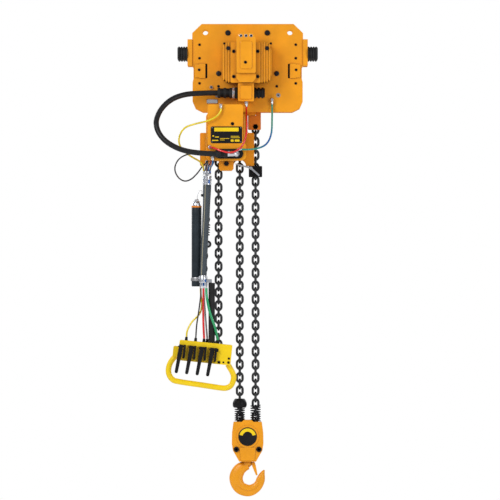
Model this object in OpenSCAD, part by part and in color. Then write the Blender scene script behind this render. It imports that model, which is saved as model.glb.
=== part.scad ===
// Air chain hoist with motor trolley, hanging on the lower flange of an I-beam.
// Origin: centre of the wheel tread plane on the beam's lower flange.
// +X runs along the beam, +Y is away from the front plate, +Z is up. Millimetres.

/* [Beam] */
// Width of the beam's lower flange
flange_w = 180; // [170:5:190]

/* [Trolley] */
// Width of each side plate
plate_w = 608; // [600:2:620]
// Thickness of each side plate
plate_t = 15; // [12:1:15]
// Distance between the inner faces of the side plates
plate_gap = 236; // [236:1:240]
// Distance between the wheel axles
wheel_base = 300; // [300:1:300]
// Radius of the wheel treads
tread_r = 70; // [68:1:72]
// Gear module of the driven wheels
gear_module = 5; // [5:1:5]
// Teeth on each driven wheel
wheel_teeth = 36; // [36:2:36]
// Teeth on the drive pinion
pinion_teeth = 24; // [24:2:24]
// Radius of the rubber buffers
buffer_r = 38; // [30:1:42]

/* [Chain] */
// Wire diameter of a link
link_d = 13; // [11:0.5:13]
// Pitch of the chain
pitch = 36; // [36:1:36]
// Links in the wrap of a full turn on the return sheave
block_sides = 8; // [8:2:8]
// Distance from the load fall to the slack run
load_span = 116.6; // [112:0.2:120]

/* [Hoist] */
// Half depth of the chain housing
housing_half = 60; // [56:1:64]
// Front face of the front cover, as a distance from the chain plane
cover_front = 330; // [310:5:350]

/* [Hook block] */
// Height of the return sheave's axis, below the tread plane
block_drop = 2016; // [2016:36:2016]
// Half depth of the block
block_half = 48; // [44:1:52]

/* [Pendant] */
// Distance of the pendant from the chain plane
pendant_front = 160; // [150:5:170]
// Tilt of the controller
controller_tilt = 5.8; // [0:0.2:8]
// Length of a control lever
lever_len = 156; // [144:2:160]

/* [Hidden] */
$fn = 48;

orange = [0.96, 0.62, 0.06];
yellow = [0.98, 0.80, 0.05];
black = [0.07, 0.07, 0.08];
steel = [0.72, 0.73, 0.75];

// Running gap between a shaft and its bore
fit = 0.05;
// Gap between surfaces of different bodies
clear = 0.4;

plate_in = plate_gap / 2;
plate_out = plate_in + plate_t;
wheel_x = wheel_base / 2;
wheel_z = tread_r;
tread_in = 45;
rim_in = flange_w / 2 + 3;
rim_out = rim_in + 18;
rim_r = 88;
axle_r = 14;
axle_seat = 9;
bearing_r = 25;
pinion_shaft_r = 14;

load_bar_r = 32;
load_bar_z = -110;

link_half = pitch / 2 + 0.15;
link_w = 18;
block_r = pitch / (2 * tan(180 / block_sides));
fall_x = block_r;
load_r = load_span / 2;
load_x = -fall_x - load_r;
slack_x = load_x - load_r;
load_row = 45;
load_z = row_z(load_row);
anchor_row = 47;
upper_row = 30;
middle_row = 15;
slack_links = 32;
guide_w = 50;
anchor_pin_r = 6;
anchor_pin_z = row_z(anchor_row) + link_half - anchor_pin_r - 0.3;

sheave_shaft_r = 18;
sheave_bearing_r = 30;
block_axle_r = 14;
hook_shank_r = 18;

control = [-233, -pendant_front, -1552];
body_half_w = 145;
body_half_h = 56;
body_half_d = 40;
lever_pitch = 57.5;
first_lever = -134;
lever_top = 26;
lever_y = -body_half_d - 16;

// Height of row n of the chain's common grid
function row_z(n) = -block_drop + n * pitch;

// ---------- Shapes shared by several parts ----------

// Corner q of an outline, between p and s, turned into an arc of radius r
function corner(p, q, s, r, steps = 4) = let(
        u = (p - q) / norm(p - q),
        v = (s - q) / norm(s - q),
        half = acos(u * v) / 2,
        c = q + (u + v) / norm(u + v) * r / sin(half),
        a = q + u * r / tan(half) - c,
        b = q + v * r / tan(half) - c,
        turn = 180 - 2 * half)
    [for (i = [0:steps]) c + (a * sin(turn * (1 - i / steps)) + b * sin(turn * i / steps)) / sin(turn)];

// Outline with every corner rounded to radius r
function rounded(points, r) = let(n = len(points))
    [for (i = [0:n - 1]) each corner(points[(i + n - 1) % n], points[i], points[(i + 1) % n], r)];

// Outline mirrored about x = 0 and joined: points run down the right side
function both_sides(right) =
    concat(right, [for (i = [len(right) - 1:-1:0]) [-right[i][0], right[i][1]]]);

// Smooth curve through points of any dimension, with steps per span
function smooth(points, steps) = let(n = len(points) - 1)
    [for (i = [0:n - 1]) for (k = [0:steps - (i == n - 1 ? 0 : 1)]) let(
        t = k / steps,
        a = points[max(i - 1, 0)],
        b = points[i],
        c = points[i + 1],
        d = points[min(i + 2, n)])
    (2 * b + (c - a) * t + (2 * a - 5 * b + 4 * c - d) * t ^ 2 + (3 * b - a - 3 * c + d) * t ^ 3) / 2];

// Panel with an outline in the XZ plane, from depth y0 to y1
module panel(points, y0, y1) {
    translate([0, y1, 0]) rotate([90, 0, 0]) linear_extrude(y1 - y0) polygon(points);
}

// Block with its four edges along Y rounded
module block(x, y, z, r) {
    panel(rounded([[x[0], z[0]], [x[1], z[0]], [x[1], z[1]], [x[0], z[1]]], r), y[0], y[1]);
}

module rod_y(x, z, r, y0, y1) {
    translate([x, y1, z]) rotate([90, 0, 0]) cylinder(h = y1 - y0, r = r);
}

module rod_x(y, z, r, x0, x1) {
    translate([x0, y, z]) rotate([0, 90, 0]) cylinder(h = x1 - x0, r = r);
}

module rod_z(x, y, r, z0, z1) {
    translate([x, y, z0]) cylinder(h = z1 - z0, r = r);
}

// Hexagon bolt head or nut standing on the plane y, towards -Y
module hex_y(x, z, r, y, h) {
    translate([x, y, z]) rotate([90, 0, 0]) cylinder(h = h, r = r, $fn = 6);
}

module mirrored_y() {
    children();
    mirror([0, 1, 0]) children();
}

module mirrored_x() {
    children();
    mirror([1, 0, 0]) children();
}

// Unit vector across direction d and the reference direction up
function across(d, up) = cross(d, up) / norm(cross(d, up));

// Tube of radius r swept along points, closed at both ends.
// Where r is a list it holds a [half width, half depth] pair for each point.
module sweep(points, r, sides = 10, up = [0, 1, 0]) {
    n = len(points);
    dirs = [for (i = [0:n - 1]) let(d = points[min(i + 1, n - 1)] - points[max(i - 1, 0)]) d / norm(d)];
    rings = [for (i = [0:n - 1]) let(
            u = across(dirs[i], up),
            v = cross(dirs[i], u),
            w = is_list(r) ? r[i] : [r, r])
        for (k = [0:sides - 1]) points[i] + u * w[0] * cos(360 * k / sides) + v * w[1] * sin(360 * k / sides)];
    sides_of = [for (i = [0:n - 2]) for (k = [0:sides - 1]) let(m = (k + 1) % sides)
        each [[i * sides + k, (i + 1) * sides + m, i * sides + m],
              [i * sides + k, (i + 1) * sides + k, (i + 1) * sides + m]]];
    first = [[for (k = [0:sides - 1]) k]];
    last = [[for (k = [sides - 1:-1:0]) (n - 1) * sides + k]];
    polyhedron(points = rings, faces = concat(sides_of, first, last));
}

// ---------- Trolley ----------

plate_right = [
    [252, 250], [304, 200], [304, 22], [297, 8], [297, -52], [302, -70], [302, -176], [286, -213], [246, -233]];
window_x = [221, 267];
window_z = [-48, 32];
accessory_x = 232;
accessory_z = 204;
accessory_r = 15;
tie_bar_x = 168;
tie_bar_z = -141;
tie_bar_r = 12;

module side_plate() {
    scale_w = plate_w / 608;
    difference() {
        panel(rounded(both_sides([for (p = plate_right) [p[0] * scale_w, p[1]]]), 6), -plate_out, -plate_in);
        mirrored_x() {
            block(window_x, [-plate_out - 1, -plate_in + 1], window_z, 4);
            rod_y(accessory_x, accessory_z, accessory_r, -plate_out - 1, -plate_in + 1);
            rod_y(wheel_x, wheel_z, axle_r, -plate_in - axle_seat, -plate_in + 1);
            rod_y(tie_bar_x, tie_bar_z, tie_bar_r, -plate_out - 1, -plate_in + 1);
        }
        rod_y(0, load_bar_z, load_bar_r, -plate_out - 1, -plate_in + 1);
    }
}

module front_side_plate() {
    color(orange) difference() {
        side_plate();
        rod_y(0, wheel_z, pinion_shaft_r + 8, -plate_out - 1, -plate_in + 1);
    }
}

module rear_side_plate() {
    color(orange) mirror([0, 1, 0]) side_plate();
}

module tie_bars() {
    color(steel) mirrored_x() rod_y(tie_bar_x, tie_bar_z, tie_bar_r, -plate_out, plate_out);
}

module load_bar() {
    color(steel) rod_y(0, load_bar_z, load_bar_r, -plate_out, plate_out);
}

module wheel_axles() {
    color(steel) mirrored_x() mirrored_y() rod_y(wheel_x, wheel_z, axle_r, -plate_in - axle_seat, -tread_in + 4);
}

module wheel_bearings() {
    color(steel) mirrored_x() mirrored_y() for (y = [-rim_out + 2, -tread_in - 16]) difference() {
        rod_y(wheel_x, wheel_z, bearing_r - fit, y, y + 14);
        rod_y(wheel_x, wheel_z, axle_r, y - 1, y + 15);
    }
}

// Spur gear on the Y axis with the given number of teeth; the first tooth points to +X
module gear(teeth, y0, y1) {
    pitch_r = gear_module * teeth / 2;
    root_r = pitch_r - 1.35 * gear_module;
    tip_r = pitch_r + 0.95 * gear_module;
    half_root = 0.86 * gear_module;
    half_tip = 0.30 * gear_module;
    points = [for (i = [0:teeth - 1]) let(a = 360 * i / teeth)
        for (p = [[root_r, -half_root], [tip_r, -half_tip], [tip_r, half_tip], [root_r, half_root]])
            [p[0] * cos(a) - p[1] * sin(a), p[0] * sin(a) + p[1] * cos(a)]];
    panel(points, y0, y1);
}

// Wheel on the front side; the rear wheels are its mirror image
module wheel(toothed) {
    difference() {
        union() {
            rod_y(0, 0, tread_r, -rim_in, -tread_in);
            if (toothed) gear(wheel_teeth, -rim_out, -rim_in);
            else rod_y(0, 0, rim_r, -rim_out, -rim_in);
        }
        rod_y(0, 0, bearing_r, -rim_out - 1, -tread_in + 1);
    }
}

module front_left_wheel() {
    color(steel) translate([-wheel_x, 0, wheel_z]) wheel(true);
}

module front_right_wheel() {
    color(steel) translate([wheel_x, 0, wheel_z]) wheel(true);
}

module rear_left_wheel() {
    color(steel) mirror([0, 1, 0]) translate([-wheel_x, 0, wheel_z]) wheel(false);
}

module rear_right_wheel() {
    color(steel) mirror([0, 1, 0]) translate([wheel_x, 0, wheel_z]) wheel(false);
}

motor_y = [-270, -plate_out];
motor_x = [-144, 136];
motor_z = [-75, 145];
shaft_end = -165;

module drive_pinion() {
    color(steel) translate([0, 0, wheel_z]) {
        rotate([0, 180 / pinion_teeth, 0]) gear(pinion_teeth, -rim_out, -rim_in);
        rod_y(0, 0, pinion_shaft_r, shaft_end, -rim_out);
    }
}

module trolley_motor() {
    fin_step = 14;
    fin_t = 5;
    groove = 6;
    color(orange) difference() {
        union() {
            block([motor_x[0] + groove, motor_x[1] - groove], [motor_y[0] + groove, motor_y[1]],
                [motor_z[0] + groove, motor_z[1] - groove], 40);
            intersection() {
                block(motor_x, motor_y, motor_z, 44);
                union() {
                    for (x = [motor_x[0] + 10:fin_step:motor_x[1] - 10])
                        translate([x, -300, -100]) cube([fin_t, 300 - plate_out, 300]);
                    translate([-90, -300, -100]) cube([160, 300 - plate_out, 300]);
                }
            }
            panel(rounded([[45, -24], [45, -52], [28, -73], [-44, -73], [-61, -52], [-61, -24]], 8),
                -296, motor_y[0]);
        }
        rod_y(0, wheel_z, pinion_shaft_r + fit, shaft_end - 4, motor_y[1] + 1);
    }
}

module trolley_motor_cover() {
    color(orange) {
        panel(rounded([[45, -24], [45, 168], [28, 197], [-44, 197], [-61, 168], [-61, -24]], 8), -318, motor_y[0]);
        block([-40, 24], [-326, -318], [0, 150], 10);
    }
}

valve_x = [-53, 35];
valve_y = -200;
valve_z = [-177, -75];
coupling_z = -130;
inlet_r = 12.1;

module trolley_valve() {
    color(orange) difference() {
        union() {
            block(valve_x, [-262, -plate_out], valve_z, 6);
            block([-40, 22], [-270, -262], [-165, -90], 8);
        }
        rod_z(-9, valve_y, inlet_r, valve_z[0] - 1, valve_z[0] + 20);
    }
}

module silencer() {
    color(black) {
        for (x = [35, 55, 75]) rod_x(valve_y, coupling_z, 30, x, x + 12);
        for (x = [47, 67]) rod_x(valve_y, coupling_z, 25, x, x + 8);
        rod_x(valve_y, coupling_z, 22, 87, 93);
    }
}

port_y = -cover_front - 32;
port_z = -465;
port_end = -175;

module hose_couplings() {
    color(black) {
        translate([valve_x[0] - 17, valve_y - 31, coupling_z - 31]) cube([17, 62, 62]);
        for (i = [0:4]) rod_x(valve_y, coupling_z, i % 2 == 0 ? 28 : 25, -165 + i * 16.2, -165 + (i + 1) * 16.2);
        rod_x(port_y, port_z, 21, port_end, -109);
    }
}

bracket_z = [20, 166];
bracket_y = [-143, -100];
buffer_z = 88;

module end_brackets() {
    color(orange) mirrored_x() mirrored_y() {
        block([304, 330], bracket_y, bracket_z, 3);
        block([270, 304], [-plate_in, -104], bracket_z, 3);
    }
}

module rubber_buffers() {
    ribs = 4;
    step = 55 / ribs;
    mid_y = (bracket_y[0] + bracket_y[1]) / 2;
    color(black) mirrored_x() mirrored_y() for (i = [0:ribs - 1]) {
        rod_x(mid_y, buffer_z, buffer_r, 330 + i * step, 330 + (i + 0.7) * step);
        rod_x(mid_y, buffer_z, buffer_r - 5, 330 + (i + 0.7) * step, 330 + (i + 1) * step);
    }
}

module guide_blocks() {
    color(orange) mirrored_x() mirrored_y() {
        block([232, window_x[1] - 0.3], [-plate_out - 8, -rim_out - 1], [window_z[0] + 0.3, window_z[1] - 0.3], 4);
        block([window_x[1] - 0.3, 290], [-plate_out - 8, -plate_out], [-44, 28], 3);
    }
}

// Places of the black fasteners on the front plate: [x, z, radius]
plate_bolts = [
    [108, 201, 15], [106, 113, 12], [128, 143, 6], [159, -22, 14], [160, -92, 7],
    [264, 136, 7], [264, 62, 7], [264, -76, 7]];
cover_bolts = [[56, 96, 9], [56, -42, 9]];

module black_bolts() {
    color(black) {
        mirrored_x() for (b = plate_bolts) {
            front = b[2] == 12 ? motor_y[0] : -plate_out;
            hex_y(b[0], b[1], b[2], front, b[2] * 0.6);
        }
        mirrored_x() mirror([0, 1, 0]) for (b = plate_bolts)
            if (b[0] > 136) hex_y(b[0], b[1], b[2], -plate_out, b[2] * 0.6);
        mirrored_x() mirrored_y() hex_y(266, -2, 7, -plate_out - 8, 5);
        rod_y(-12, 35, 8, -331, -326);
        for (x = [-37, -9, 19]) rod_y(x, 180, 6, -324, -318);
        for (b = cover_bolts) for (x = [b[0], -b[0] - 20]) hex_y(x, b[1], b[2], motor_y[0], 6);
        rod_y(-83, -301, 9, -cover_front - 5, -cover_front);
        rod_y(-116, -517, 14, -214, -206);
        mirrored_y() rod_y(fall_x, anchor_pin_z, 15, -47, -41);
        rod_y(fall_x, anchor_pin_z, anchor_pin_r, -41, 41);
    }
}

yellow_out = [-146, -217];
red_out = [-7, -206];
green_out = [134, -192];
red_in = [-206, -428];

ferrule_z = [-576, -556];
// Pin that the pendant hangs on and swings about
hanger_x = -223;
hanger_z = -604;
hanger_pin_r = 5;
// Place of hose ferrule i above the pendant's upper clamp
function ferrule(i) = [-240 + 8.5 * i, -pendant_front + (i % 2 == 0 ? 8 : -8)];

// Straight push-in fitting pointing down; its hose leaves at [x, y, z]
module down_fitting(x, y, z, h) {
    rod_z(x, y, 8, z, z + h * 0.6);
    rod_z(x, y, 10, z + h * 0.6, z + h);
}

module hose_fittings() {
    color(steel) {
        rod_x(valve_y, coupling_z, 31, -84, -70);
        down_fitting(yellow_out[0], -345, yellow_out[1], 24);
        rod_y(yellow_out[0], yellow_out[1] + 12, 8, -345, -cover_front);
        down_fitting(red_out[0], -230, red_out[1], valve_z[0] - red_out[1]);
        down_fitting(green_out[0], -150, green_out[1], 30);
        rod_y(green_out[0], green_out[1] + 26, 9, -150, -plate_out);
        rod_y(-200, -97, 9, -150, -plate_out);
        rod_y(168, -141, 8, -140, -plate_out);
        block([-224, -165], [-139, -plate_out], [-186, -164], 3);
        rod_y(red_in[0], red_in[1], 9, -cover_front - 18, -cover_front);
        rod_x(port_y, port_z, 15, -109, -62);
        rod_y(-62, port_z, 17, port_y - 15, -cover_front - 10);
        rod_x(-352, -441, 7, -52, -34);
        rod_y(-52, -441, 7, -352, -cover_front - 10);
        rod_z(-190, -340, 7, -502, -480);
        rod_x(-300, -462, 7, -218, lower_x[0]);
        for (i = [0:4]) rod_z(ferrule(i)[0], ferrule(i)[1], 5, ferrule_z[0], ferrule_z[1]);
        rod_y(hanger_x, hanger_z, hanger_pin_r, -pendant_front - 30, -pendant_front + 30);
        rod_y(hanger_x, hanger_z, 9, -pendant_front - 33, -pendant_front - 27);
        translate([hanger_x - 9, -pendant_front + 28, hanger_z - 11]) cube([18, 5, -500 - hanger_z + 11]);
    }
}

// ---------- Hoist ----------

cover_x = [-219, -25];
cover_z = [-420, -195];
cover_back = -210;
lower_x = [-208, -8];

module hoist_front_cover() {
    color(orange) {
        block(cover_x, [-cover_front, cover_back], cover_z, 14);
        block(lower_x, [-cover_front, cover_back], [-502, -400], 26);
    }
}

module hoist_motor_housing() {
    color(orange) union() {
        block([-228, -16], [cover_back, -housing_half], [-500, -238], 24);
        panel(rounded([[-158, -480], [-158, -545], [-148, -556], [-88, -556], [-77, -545], [-77, -480]], 4),
            -206, -housing_half);
    }
}

housing_outline = rounded([
    [-262, -346], [-205, -346], [-205, -240], [0, -240], [0, -346], [36, -346], [36, -528], [-262, -528]], 8);
lug_half = 50;
lug_outline = rounded([[-45, -250.5], [-45, -62], [45, -62], [45, -250.5]], 8);

module hoist_chain_housing() {
    color(orange) difference() {
        union() {
            panel(housing_outline, -housing_half, housing_half);
            panel(lug_outline, -lug_half, lug_half);
        }
        rod_y(load_x, load_z, load_r + 26, -27, 27);
        for (x = [slack_x, -fall_x]) translate([x - guide_w / 2, -guide_w / 2, load_z - 150])
            cube([guide_w, guide_w, 150]);
        for (x = [slack_x, -fall_x]) rod_y(x, -528, 34, -housing_half - 1, housing_half + 1);
        translate([fall_x - guide_w / 2, -guide_w / 2 - 2, -540]) cube([guide_w, guide_w + 4, 320]);
        rod_y(0, load_bar_z, load_bar_r, -lug_half - 1, lug_half + 1);
        rod_y(load_x, load_z, sheave_bearing_r, -45, 45);
    }
}

module hoist_gear_housing() {
    color(orange) {
        block([-228, -16], [housing_half, 200], [-500, -240], 60);
        rod_y(-122, -370, 92, 200, 262);
        rod_y(-122, -370, 40, 262, 276);
        for (a = [30:60:330]) hex_y(-122 + 78 * cos(a), -370 + 78 * sin(a), 8, 268, 6);
    }
}

module nameplate() {
    color(black) block([-201, -30], [-cover_front - 3, -cover_front], [-407, -316], 10);
}

module load_sheave() {
    rim = load_r - link_d / 2 - 0.4;
    color(steel) {
        mirrored_y() rod_y(load_x, load_z, rim, 8, 24);
        rod_y(load_x, load_z, load_r - link_w - 6, -8, 8);
        rod_y(load_x, load_z, sheave_shaft_r, -44, 44);
    }
}

module sheave_bearings() {
    color(steel) mirrored_y() difference() {
        rod_y(load_x, load_z, sheave_bearing_r, 29, 45);
        rod_y(load_x, load_z, sheave_shaft_r + fit, 28, 46);
    }
}

module chain_anchor() {
    color([0.88, 0.46, 0.05]) difference() {
        union() {
            mirrored_y() panel(rounded([[2, -251], [73, -251], [73, -329], [2, -329]], 6), -41, -27);
            translate([45, -41, -265]) cube([28, 82, 105]);
        }
        rod_y(fall_x, anchor_pin_z, anchor_pin_r, -42, 42);
    }
}

module air_port() {
    color(black) block([-178, -24], [-cover_front - 10, -cover_front], [-491, -438], 26);
}

switch_z = [-589, -528];
switch_pivot = [18, -540];

module limit_switch() {
    color(black) difference() {
        block([6, 80], [-38, 38], switch_z, 5);
        translate([fall_x - guide_w / 2, -guide_w / 2, switch_z[0] - 1]) cube([guide_w, guide_w, 70]);
    }
}

// Bent lever about its pivot: the long arm points up left, the short one down right
lever_arms = [[-84, 26], [2, 5], [49, -38], [43, -45], [-3, -4], [-86, 20]];

module limit_lever() {
    lever_gap = 26;
    color(steel) translate([switch_pivot[0], -38 - clear, switch_pivot[1]]) {
        rod_y(0, 0, 9, -lever_gap - 8, 0);
        panel(lever_arms, -lever_gap - 6, -lever_gap);
    }
}

// ---------- Chain ----------

// One link along Z; its face looks along Y, or along X where it is turned
module link(turned) {
    loop_r = link_w / 2 + link_d / 2;
    straight = link_half + link_d / 2 - loop_r;
    rotate([0, 0, turned ? 90 : 0]) {
        for (side = [-1, 1]) translate([side * loop_r, 0, -straight])
            cylinder(h = 2 * straight, r = link_d / 2, $fn = 16);
        for (end = [0, 1]) mirror([0, 0, end]) translate([0, 0, straight]) rotate([90, 0, 0])
            rotate_extrude(angle = 180, $fn = 24) translate([loop_r, 0]) circle(d = link_d, $fn = 16);
    }
}

// Links of one load fall on the common grid, from row a to row b
module fall(x, a, b) {
    for (n = [a:b]) translate([x, 0, row_z(n)]) link(n % 2 == 0);
}

module slack_chain() {
    color(black) for (n = [1:slack_links]) translate([slack_x, 0, load_z - n * pitch]) link(n % 2 == 0);
}

module upper_chain() {
    load_sides = 10;
    color(black) {
        translate([load_x, 0, load_z]) for (i = [0:load_sides / 2])
            rotate([0, -360 * i / load_sides, 0]) translate([load_r, 0, 0]) link(i % 2 == 1);
        fall(-fall_x, upper_row, load_row - 1);
        fall(fall_x, upper_row, anchor_row);
    }
}

module middle_chain() {
    color(black) for (x = [-fall_x, fall_x]) fall(x, middle_row, upper_row - 1);
}

module lower_chain() {
    color(black) {
        for (x = [-fall_x, fall_x]) fall(x, 1, middle_row - 1);
        translate([0, 0, -block_drop]) for (i = [0:block_sides / 2])
            rotate([0, 360 * i / block_sides, 0]) translate([block_r, 0, 0]) link(i % 2 == 0);
    }
}

// ---------- Hook block, drawn with the return sheave's axis at height 0 ----------

block_right = [[22, 91], [32, 81], [78, 81], [86, 20], [87, -40], [81, -76], [46, -138]];
block_top = 81;
block_bottom = -138;
nut_cavity = [-112, -76];
block_bolt = [62, -70];

module at_block() {
    translate([0, 0, -block_drop]) children();
}

module block_half_shell() {
    difference() {
        union() {
            panel(rounded(both_sides(block_right), 5), -block_half, 0);
            rod_y(0, 0, 62, -block_half - 3, -block_half);
            panel(rounded([[-44, -60], [44, -60], [38, -132], [-38, -132]], 5), -block_half - 4, -block_half);
        }
        rod_y(0, 0, block_r + 27, -27, 1);
        for (x = [-fall_x, fall_x]) {
            translate([x - guide_w / 2, -guide_w / 2, 0]) cube([guide_w, guide_w, 100]);
            rod_z(x, 0, spring_r + 4, block_top, 100);
        }
        rod_y(0, 0, block_axle_r, -41, 1);
        mirrored_x() rod_y(block_bolt[0], block_bolt[1], 8, -block_half - 1, 1);
        rod_z(0, 0, 33, nut_cavity[0], nut_cavity[1]);
        rod_z(0, 0, hook_shank_r + fit, block_bottom - 1, nut_cavity[0] + 1);
    }
}

module block_front_half() {
    color(orange) at_block() block_half_shell();
}

module block_rear_half() {
    color(orange) at_block() mirror([0, 1, 0]) block_half_shell();
}

module block_sheave() {
    color(steel) at_block() difference() {
        union() {
            mirrored_y() rod_y(0, 0, block_r - link_d / 2 - 0.4, 8, 24);
            rod_y(0, 0, block_axle_r + 5, -8, 8);
        }
        rod_y(0, 0, block_axle_r + fit, -25, 25);
    }
}

module block_axle() {
    color(steel) at_block() rod_y(0, 0, block_axle_r, -41, 41);
}

module block_bolts() {
    color(black) at_block() {
        mirrored_y() rod_y(0, 0, 51, -block_half - 6, -block_half - 3);
        mirrored_x() {
            rod_y(block_bolt[0], block_bolt[1], 8, -block_half, block_half);
            mirrored_y() hex_y(block_bolt[0], block_bolt[1], 15, -block_half, 9);
        }
    }
}

spring_r = 26;
spring_wire_r = 3;
cap_z = [158, 208];

// Helical spring standing on the block's top
module chain_spring(x, z0, z1, turns) {
    steps = 12;
    n = turns * steps;
    sweep([for (i = [0:n]) let(a = 360 * i / steps)
        [x + spring_r * cos(a), spring_r * sin(a), z0 + (z1 - z0) * i / n]], spring_wire_r, 6, [0, 0, 1]);
}

module chain_springs() {
    base = block_top + spring_wire_r + 0.1;
    color(black) at_block() {
        chain_spring(-fall_x, base, cap_z[0] - spring_wire_r - 0.1, 6);
        chain_spring(fall_x, base, cap_z[0] + 16, 7);
    }
}

module spring_cap() {
    hole = 24;
    rim = 39;
    color(black) at_block() translate([-fall_x, 0, cap_z[0]]) rotate_extrude()
        polygon(concat([[hole, 0], [31, 0], [36, 6], [38.5, 14]],
            [for (a = [0:15:90]) [hole + 3 + (rim - hole - 3) * cos(a), 21 + 29 * sin(a)]], [[hole, 50]]));
}

// Hook's centre line from tip to neck: [x, z, half width, half depth]
hook_line = [
    [90, -187, 5, 6], [81, -206, 14, 14], [73, -232, 23, 19], [63, -260, 25, 21], [42, -284, 28, 23],
    [7, -298, 32, 24], [-35, -286, 35, 25], [-58, -257, 36, 26], [-63, -222, 37, 26], [-48, -187, 35, 25],
    [-25, -168, 30, 23], [2, -157, 24, 21]];
latch_x = 32;
latch_z = -150;
latch_pin_r = 4;

module hook() {
    line = smooth(hook_line, 3);
    color(orange) at_block() difference() {
        union() {
            difference() {
                sweep([for (p = line) [p[0], 0, p[1]]], [for (p = line) [p[2], p[3]]], 14);
                translate([-100, -60, block_bottom - clear]) cube([200, 120, 60]);
            }
            rod_z(0, 0, hook_shank_r, -160, nut_cavity[1] - 3);
            rod_z(0, 0, 25, -152, block_bottom - clear);
            rod_z(0, 0, 27, nut_cavity[0] + 12 + clear, nut_cavity[1] - 4);
            rod_y(latch_x, latch_z, 10, -18, 18);
            translate([0, -16, latch_z - 9]) cube([latch_x, 32, 16]);
        }
        rod_y(latch_x, latch_z, latch_pin_r + fit, -19, 19);
    }
}

module hook_bearing() {
    color(steel) at_block() difference() {
        rod_z(0, 0, 31, nut_cavity[0], nut_cavity[0] + 12);
        rod_z(0, 0, hook_shank_r + 0.5, nut_cavity[0] - 1, nut_cavity[0] + 13);
    }
}

module hook_latch() {
    lean = -14;
    cheek_y = 18 + clear;
    sheet = 3;
    color(orange) at_block() translate([latch_x, 0, latch_z]) {
        rod_y(0, 0, latch_pin_r, -cheek_y - sheet, cheek_y + sheet);
        rotate([0, lean, 0]) {
            mirrored_y() panel(rounded([[-10, -14], [-7, 7], [7, 7], [10, -12], [7, -66], [-2, -66]], 2),
                -cheek_y - sheet, -cheek_y);
            panel([[1, -16], [4, -16], [4, -64], [1, -64]], -cheek_y - sheet, cheek_y + sheet);
        }
    }
}

// ---------- Pendant ----------

sleeve_line = [[-222, -632], [-226, -760], [-233, -900], [-239, -1020], [-243, -1129]];
upper_clamp_z = [-632, -583];
lower_clamp_z = [-1170, -1129];
cylinder_x = -280;
cylinder_y = -pendant_front + 40;
cylinder_r = 28;
cylinder_z = [-1190, -757];
exhaust_x = -197;
hose_tops = [[-258, 8], [-256, -10], [-242, -10], [-241, 11], [-226, -11]];

module pendant_sleeve() {
    color([0.25, 0.28, 0.30]) sweep([for (p = smooth(sleeve_line, 3)) [p[0], -pendant_front, p[1]]], 22, 12);
}

module pendant_clamps() {
    color(steel) {
        difference() {
            rod_z(hanger_x, -pendant_front, 26, upper_clamp_z[0], upper_clamp_z[1]);
            rod_y(hanger_x, hanger_z, hanger_pin_r + fit, -pendant_front - 27, -pendant_front + 27);
        }
        rod_z(-244, -pendant_front, 24, lower_clamp_z[0], lower_clamp_z[1]);
        difference() {
            rod_z(cylinder_x, cylinder_y, cylinder_r + 4, -1160, -1140);
            rod_z(cylinder_x, cylinder_y, cylinder_r, -1161, -1139);
        }
        translate([-222, -pendant_front - 12, lower_clamp_z[0]]) cube([26, 24, 20]);
        for (h = hose_tops) rod_z(h[0], -pendant_front + h[1], 6, -1200, lower_clamp_z[0]);
        rod_z(cylinder_x, cylinder_y, 25, -748, -722);
        rod_z(cylinder_x, cylinder_y, 12, -722, -712);
    }
}

module pendant_cylinder() {
    color(black) {
        rod_z(cylinder_x, cylinder_y, cylinder_r, cylinder_z[0], cylinder_z[1]);
        rod_z(cylinder_x, cylinder_y, cylinder_r + 0.5, -757, -748);
    }
}

module exhaust_tube() {
    color(black) rod_z(exhaust_x, -pendant_front, 18, -1506, lower_clamp_z[0]);
}

// The controller is drawn about its own centre and tilted
module at_control() {
    translate(control) rotate([0, controller_tilt, 0]) children();
}

function control_at(u, y, w) = [
    control[0] + u * cos(controller_tilt) + w * sin(controller_tilt),
    control[1] + y,
    control[2] - u * sin(controller_tilt) + w * cos(controller_tilt)];

function lever_u(n) = first_lever + n * lever_pitch;

module controller_body() {
    slot_w = 42;
    color(yellow) at_control() difference() {
        union() {
            block([-body_half_w, body_half_w], [-body_half_d, body_half_d], [-body_half_h, body_half_h], 7);
            block([-176, -body_half_w], [-22, 22], [-40, 20], 8);
        }
        for (n = [0:3]) translate([lever_u(n) - slot_w / 2 - 3, -body_half_d - 1, -body_half_h - 1])
            cube([slot_w, 17, body_half_h + lever_top + 5]);
    }
}

handle_line = [
    [-160, -36], [-180, -66], [-190, -100], [-186, -136], [-164, -164], [-128, -173], [0, -179],
    [104, -184], [136, -181], [158, -166], [168, -142], [169, -114], [158, -90], [142, -68], [130, -52]];

module controller_handle() {
    color(yellow) at_control() sweep([for (p = smooth(handle_line, 2)) [p[0], 0, p[1]]], 15.5, 10);
}

lever_hinge_w = lever_top - 6;
lever_lean = 5;
lever_pin_r = 4;
lever_end = 8 - lever_len;
lever_profile = both_sides([[12, 8], [12, -30], [9.5, lever_end + 8], [6, lever_end]]);

module lever(n) {
    color(black) at_control() translate([lever_u(n), lever_y, lever_hinge_w]) difference() {
        union() {
            rotate([0, lever_lean, 0]) panel(lever_profile, -12, 12);
            rod_x(0, 0, 11, -12, 12);
        }
        rod_x(0, 0, lever_pin_r + fit, -15, 15);
    }
}

module lever_1() { lever(0); }
module lever_2() { lever(1); }
module lever_3() { lever(2); }
module lever_4() { lever(3); }

gland_at = [[-110, 0], [-59, 0], [-13, -8], [4, 22], [61, 0]];
gland_w = body_half_h;
control_bolts = [[81, -45, 8], [105, -43, 5], [133, -41, 7], [133, -19, 6]];

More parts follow.
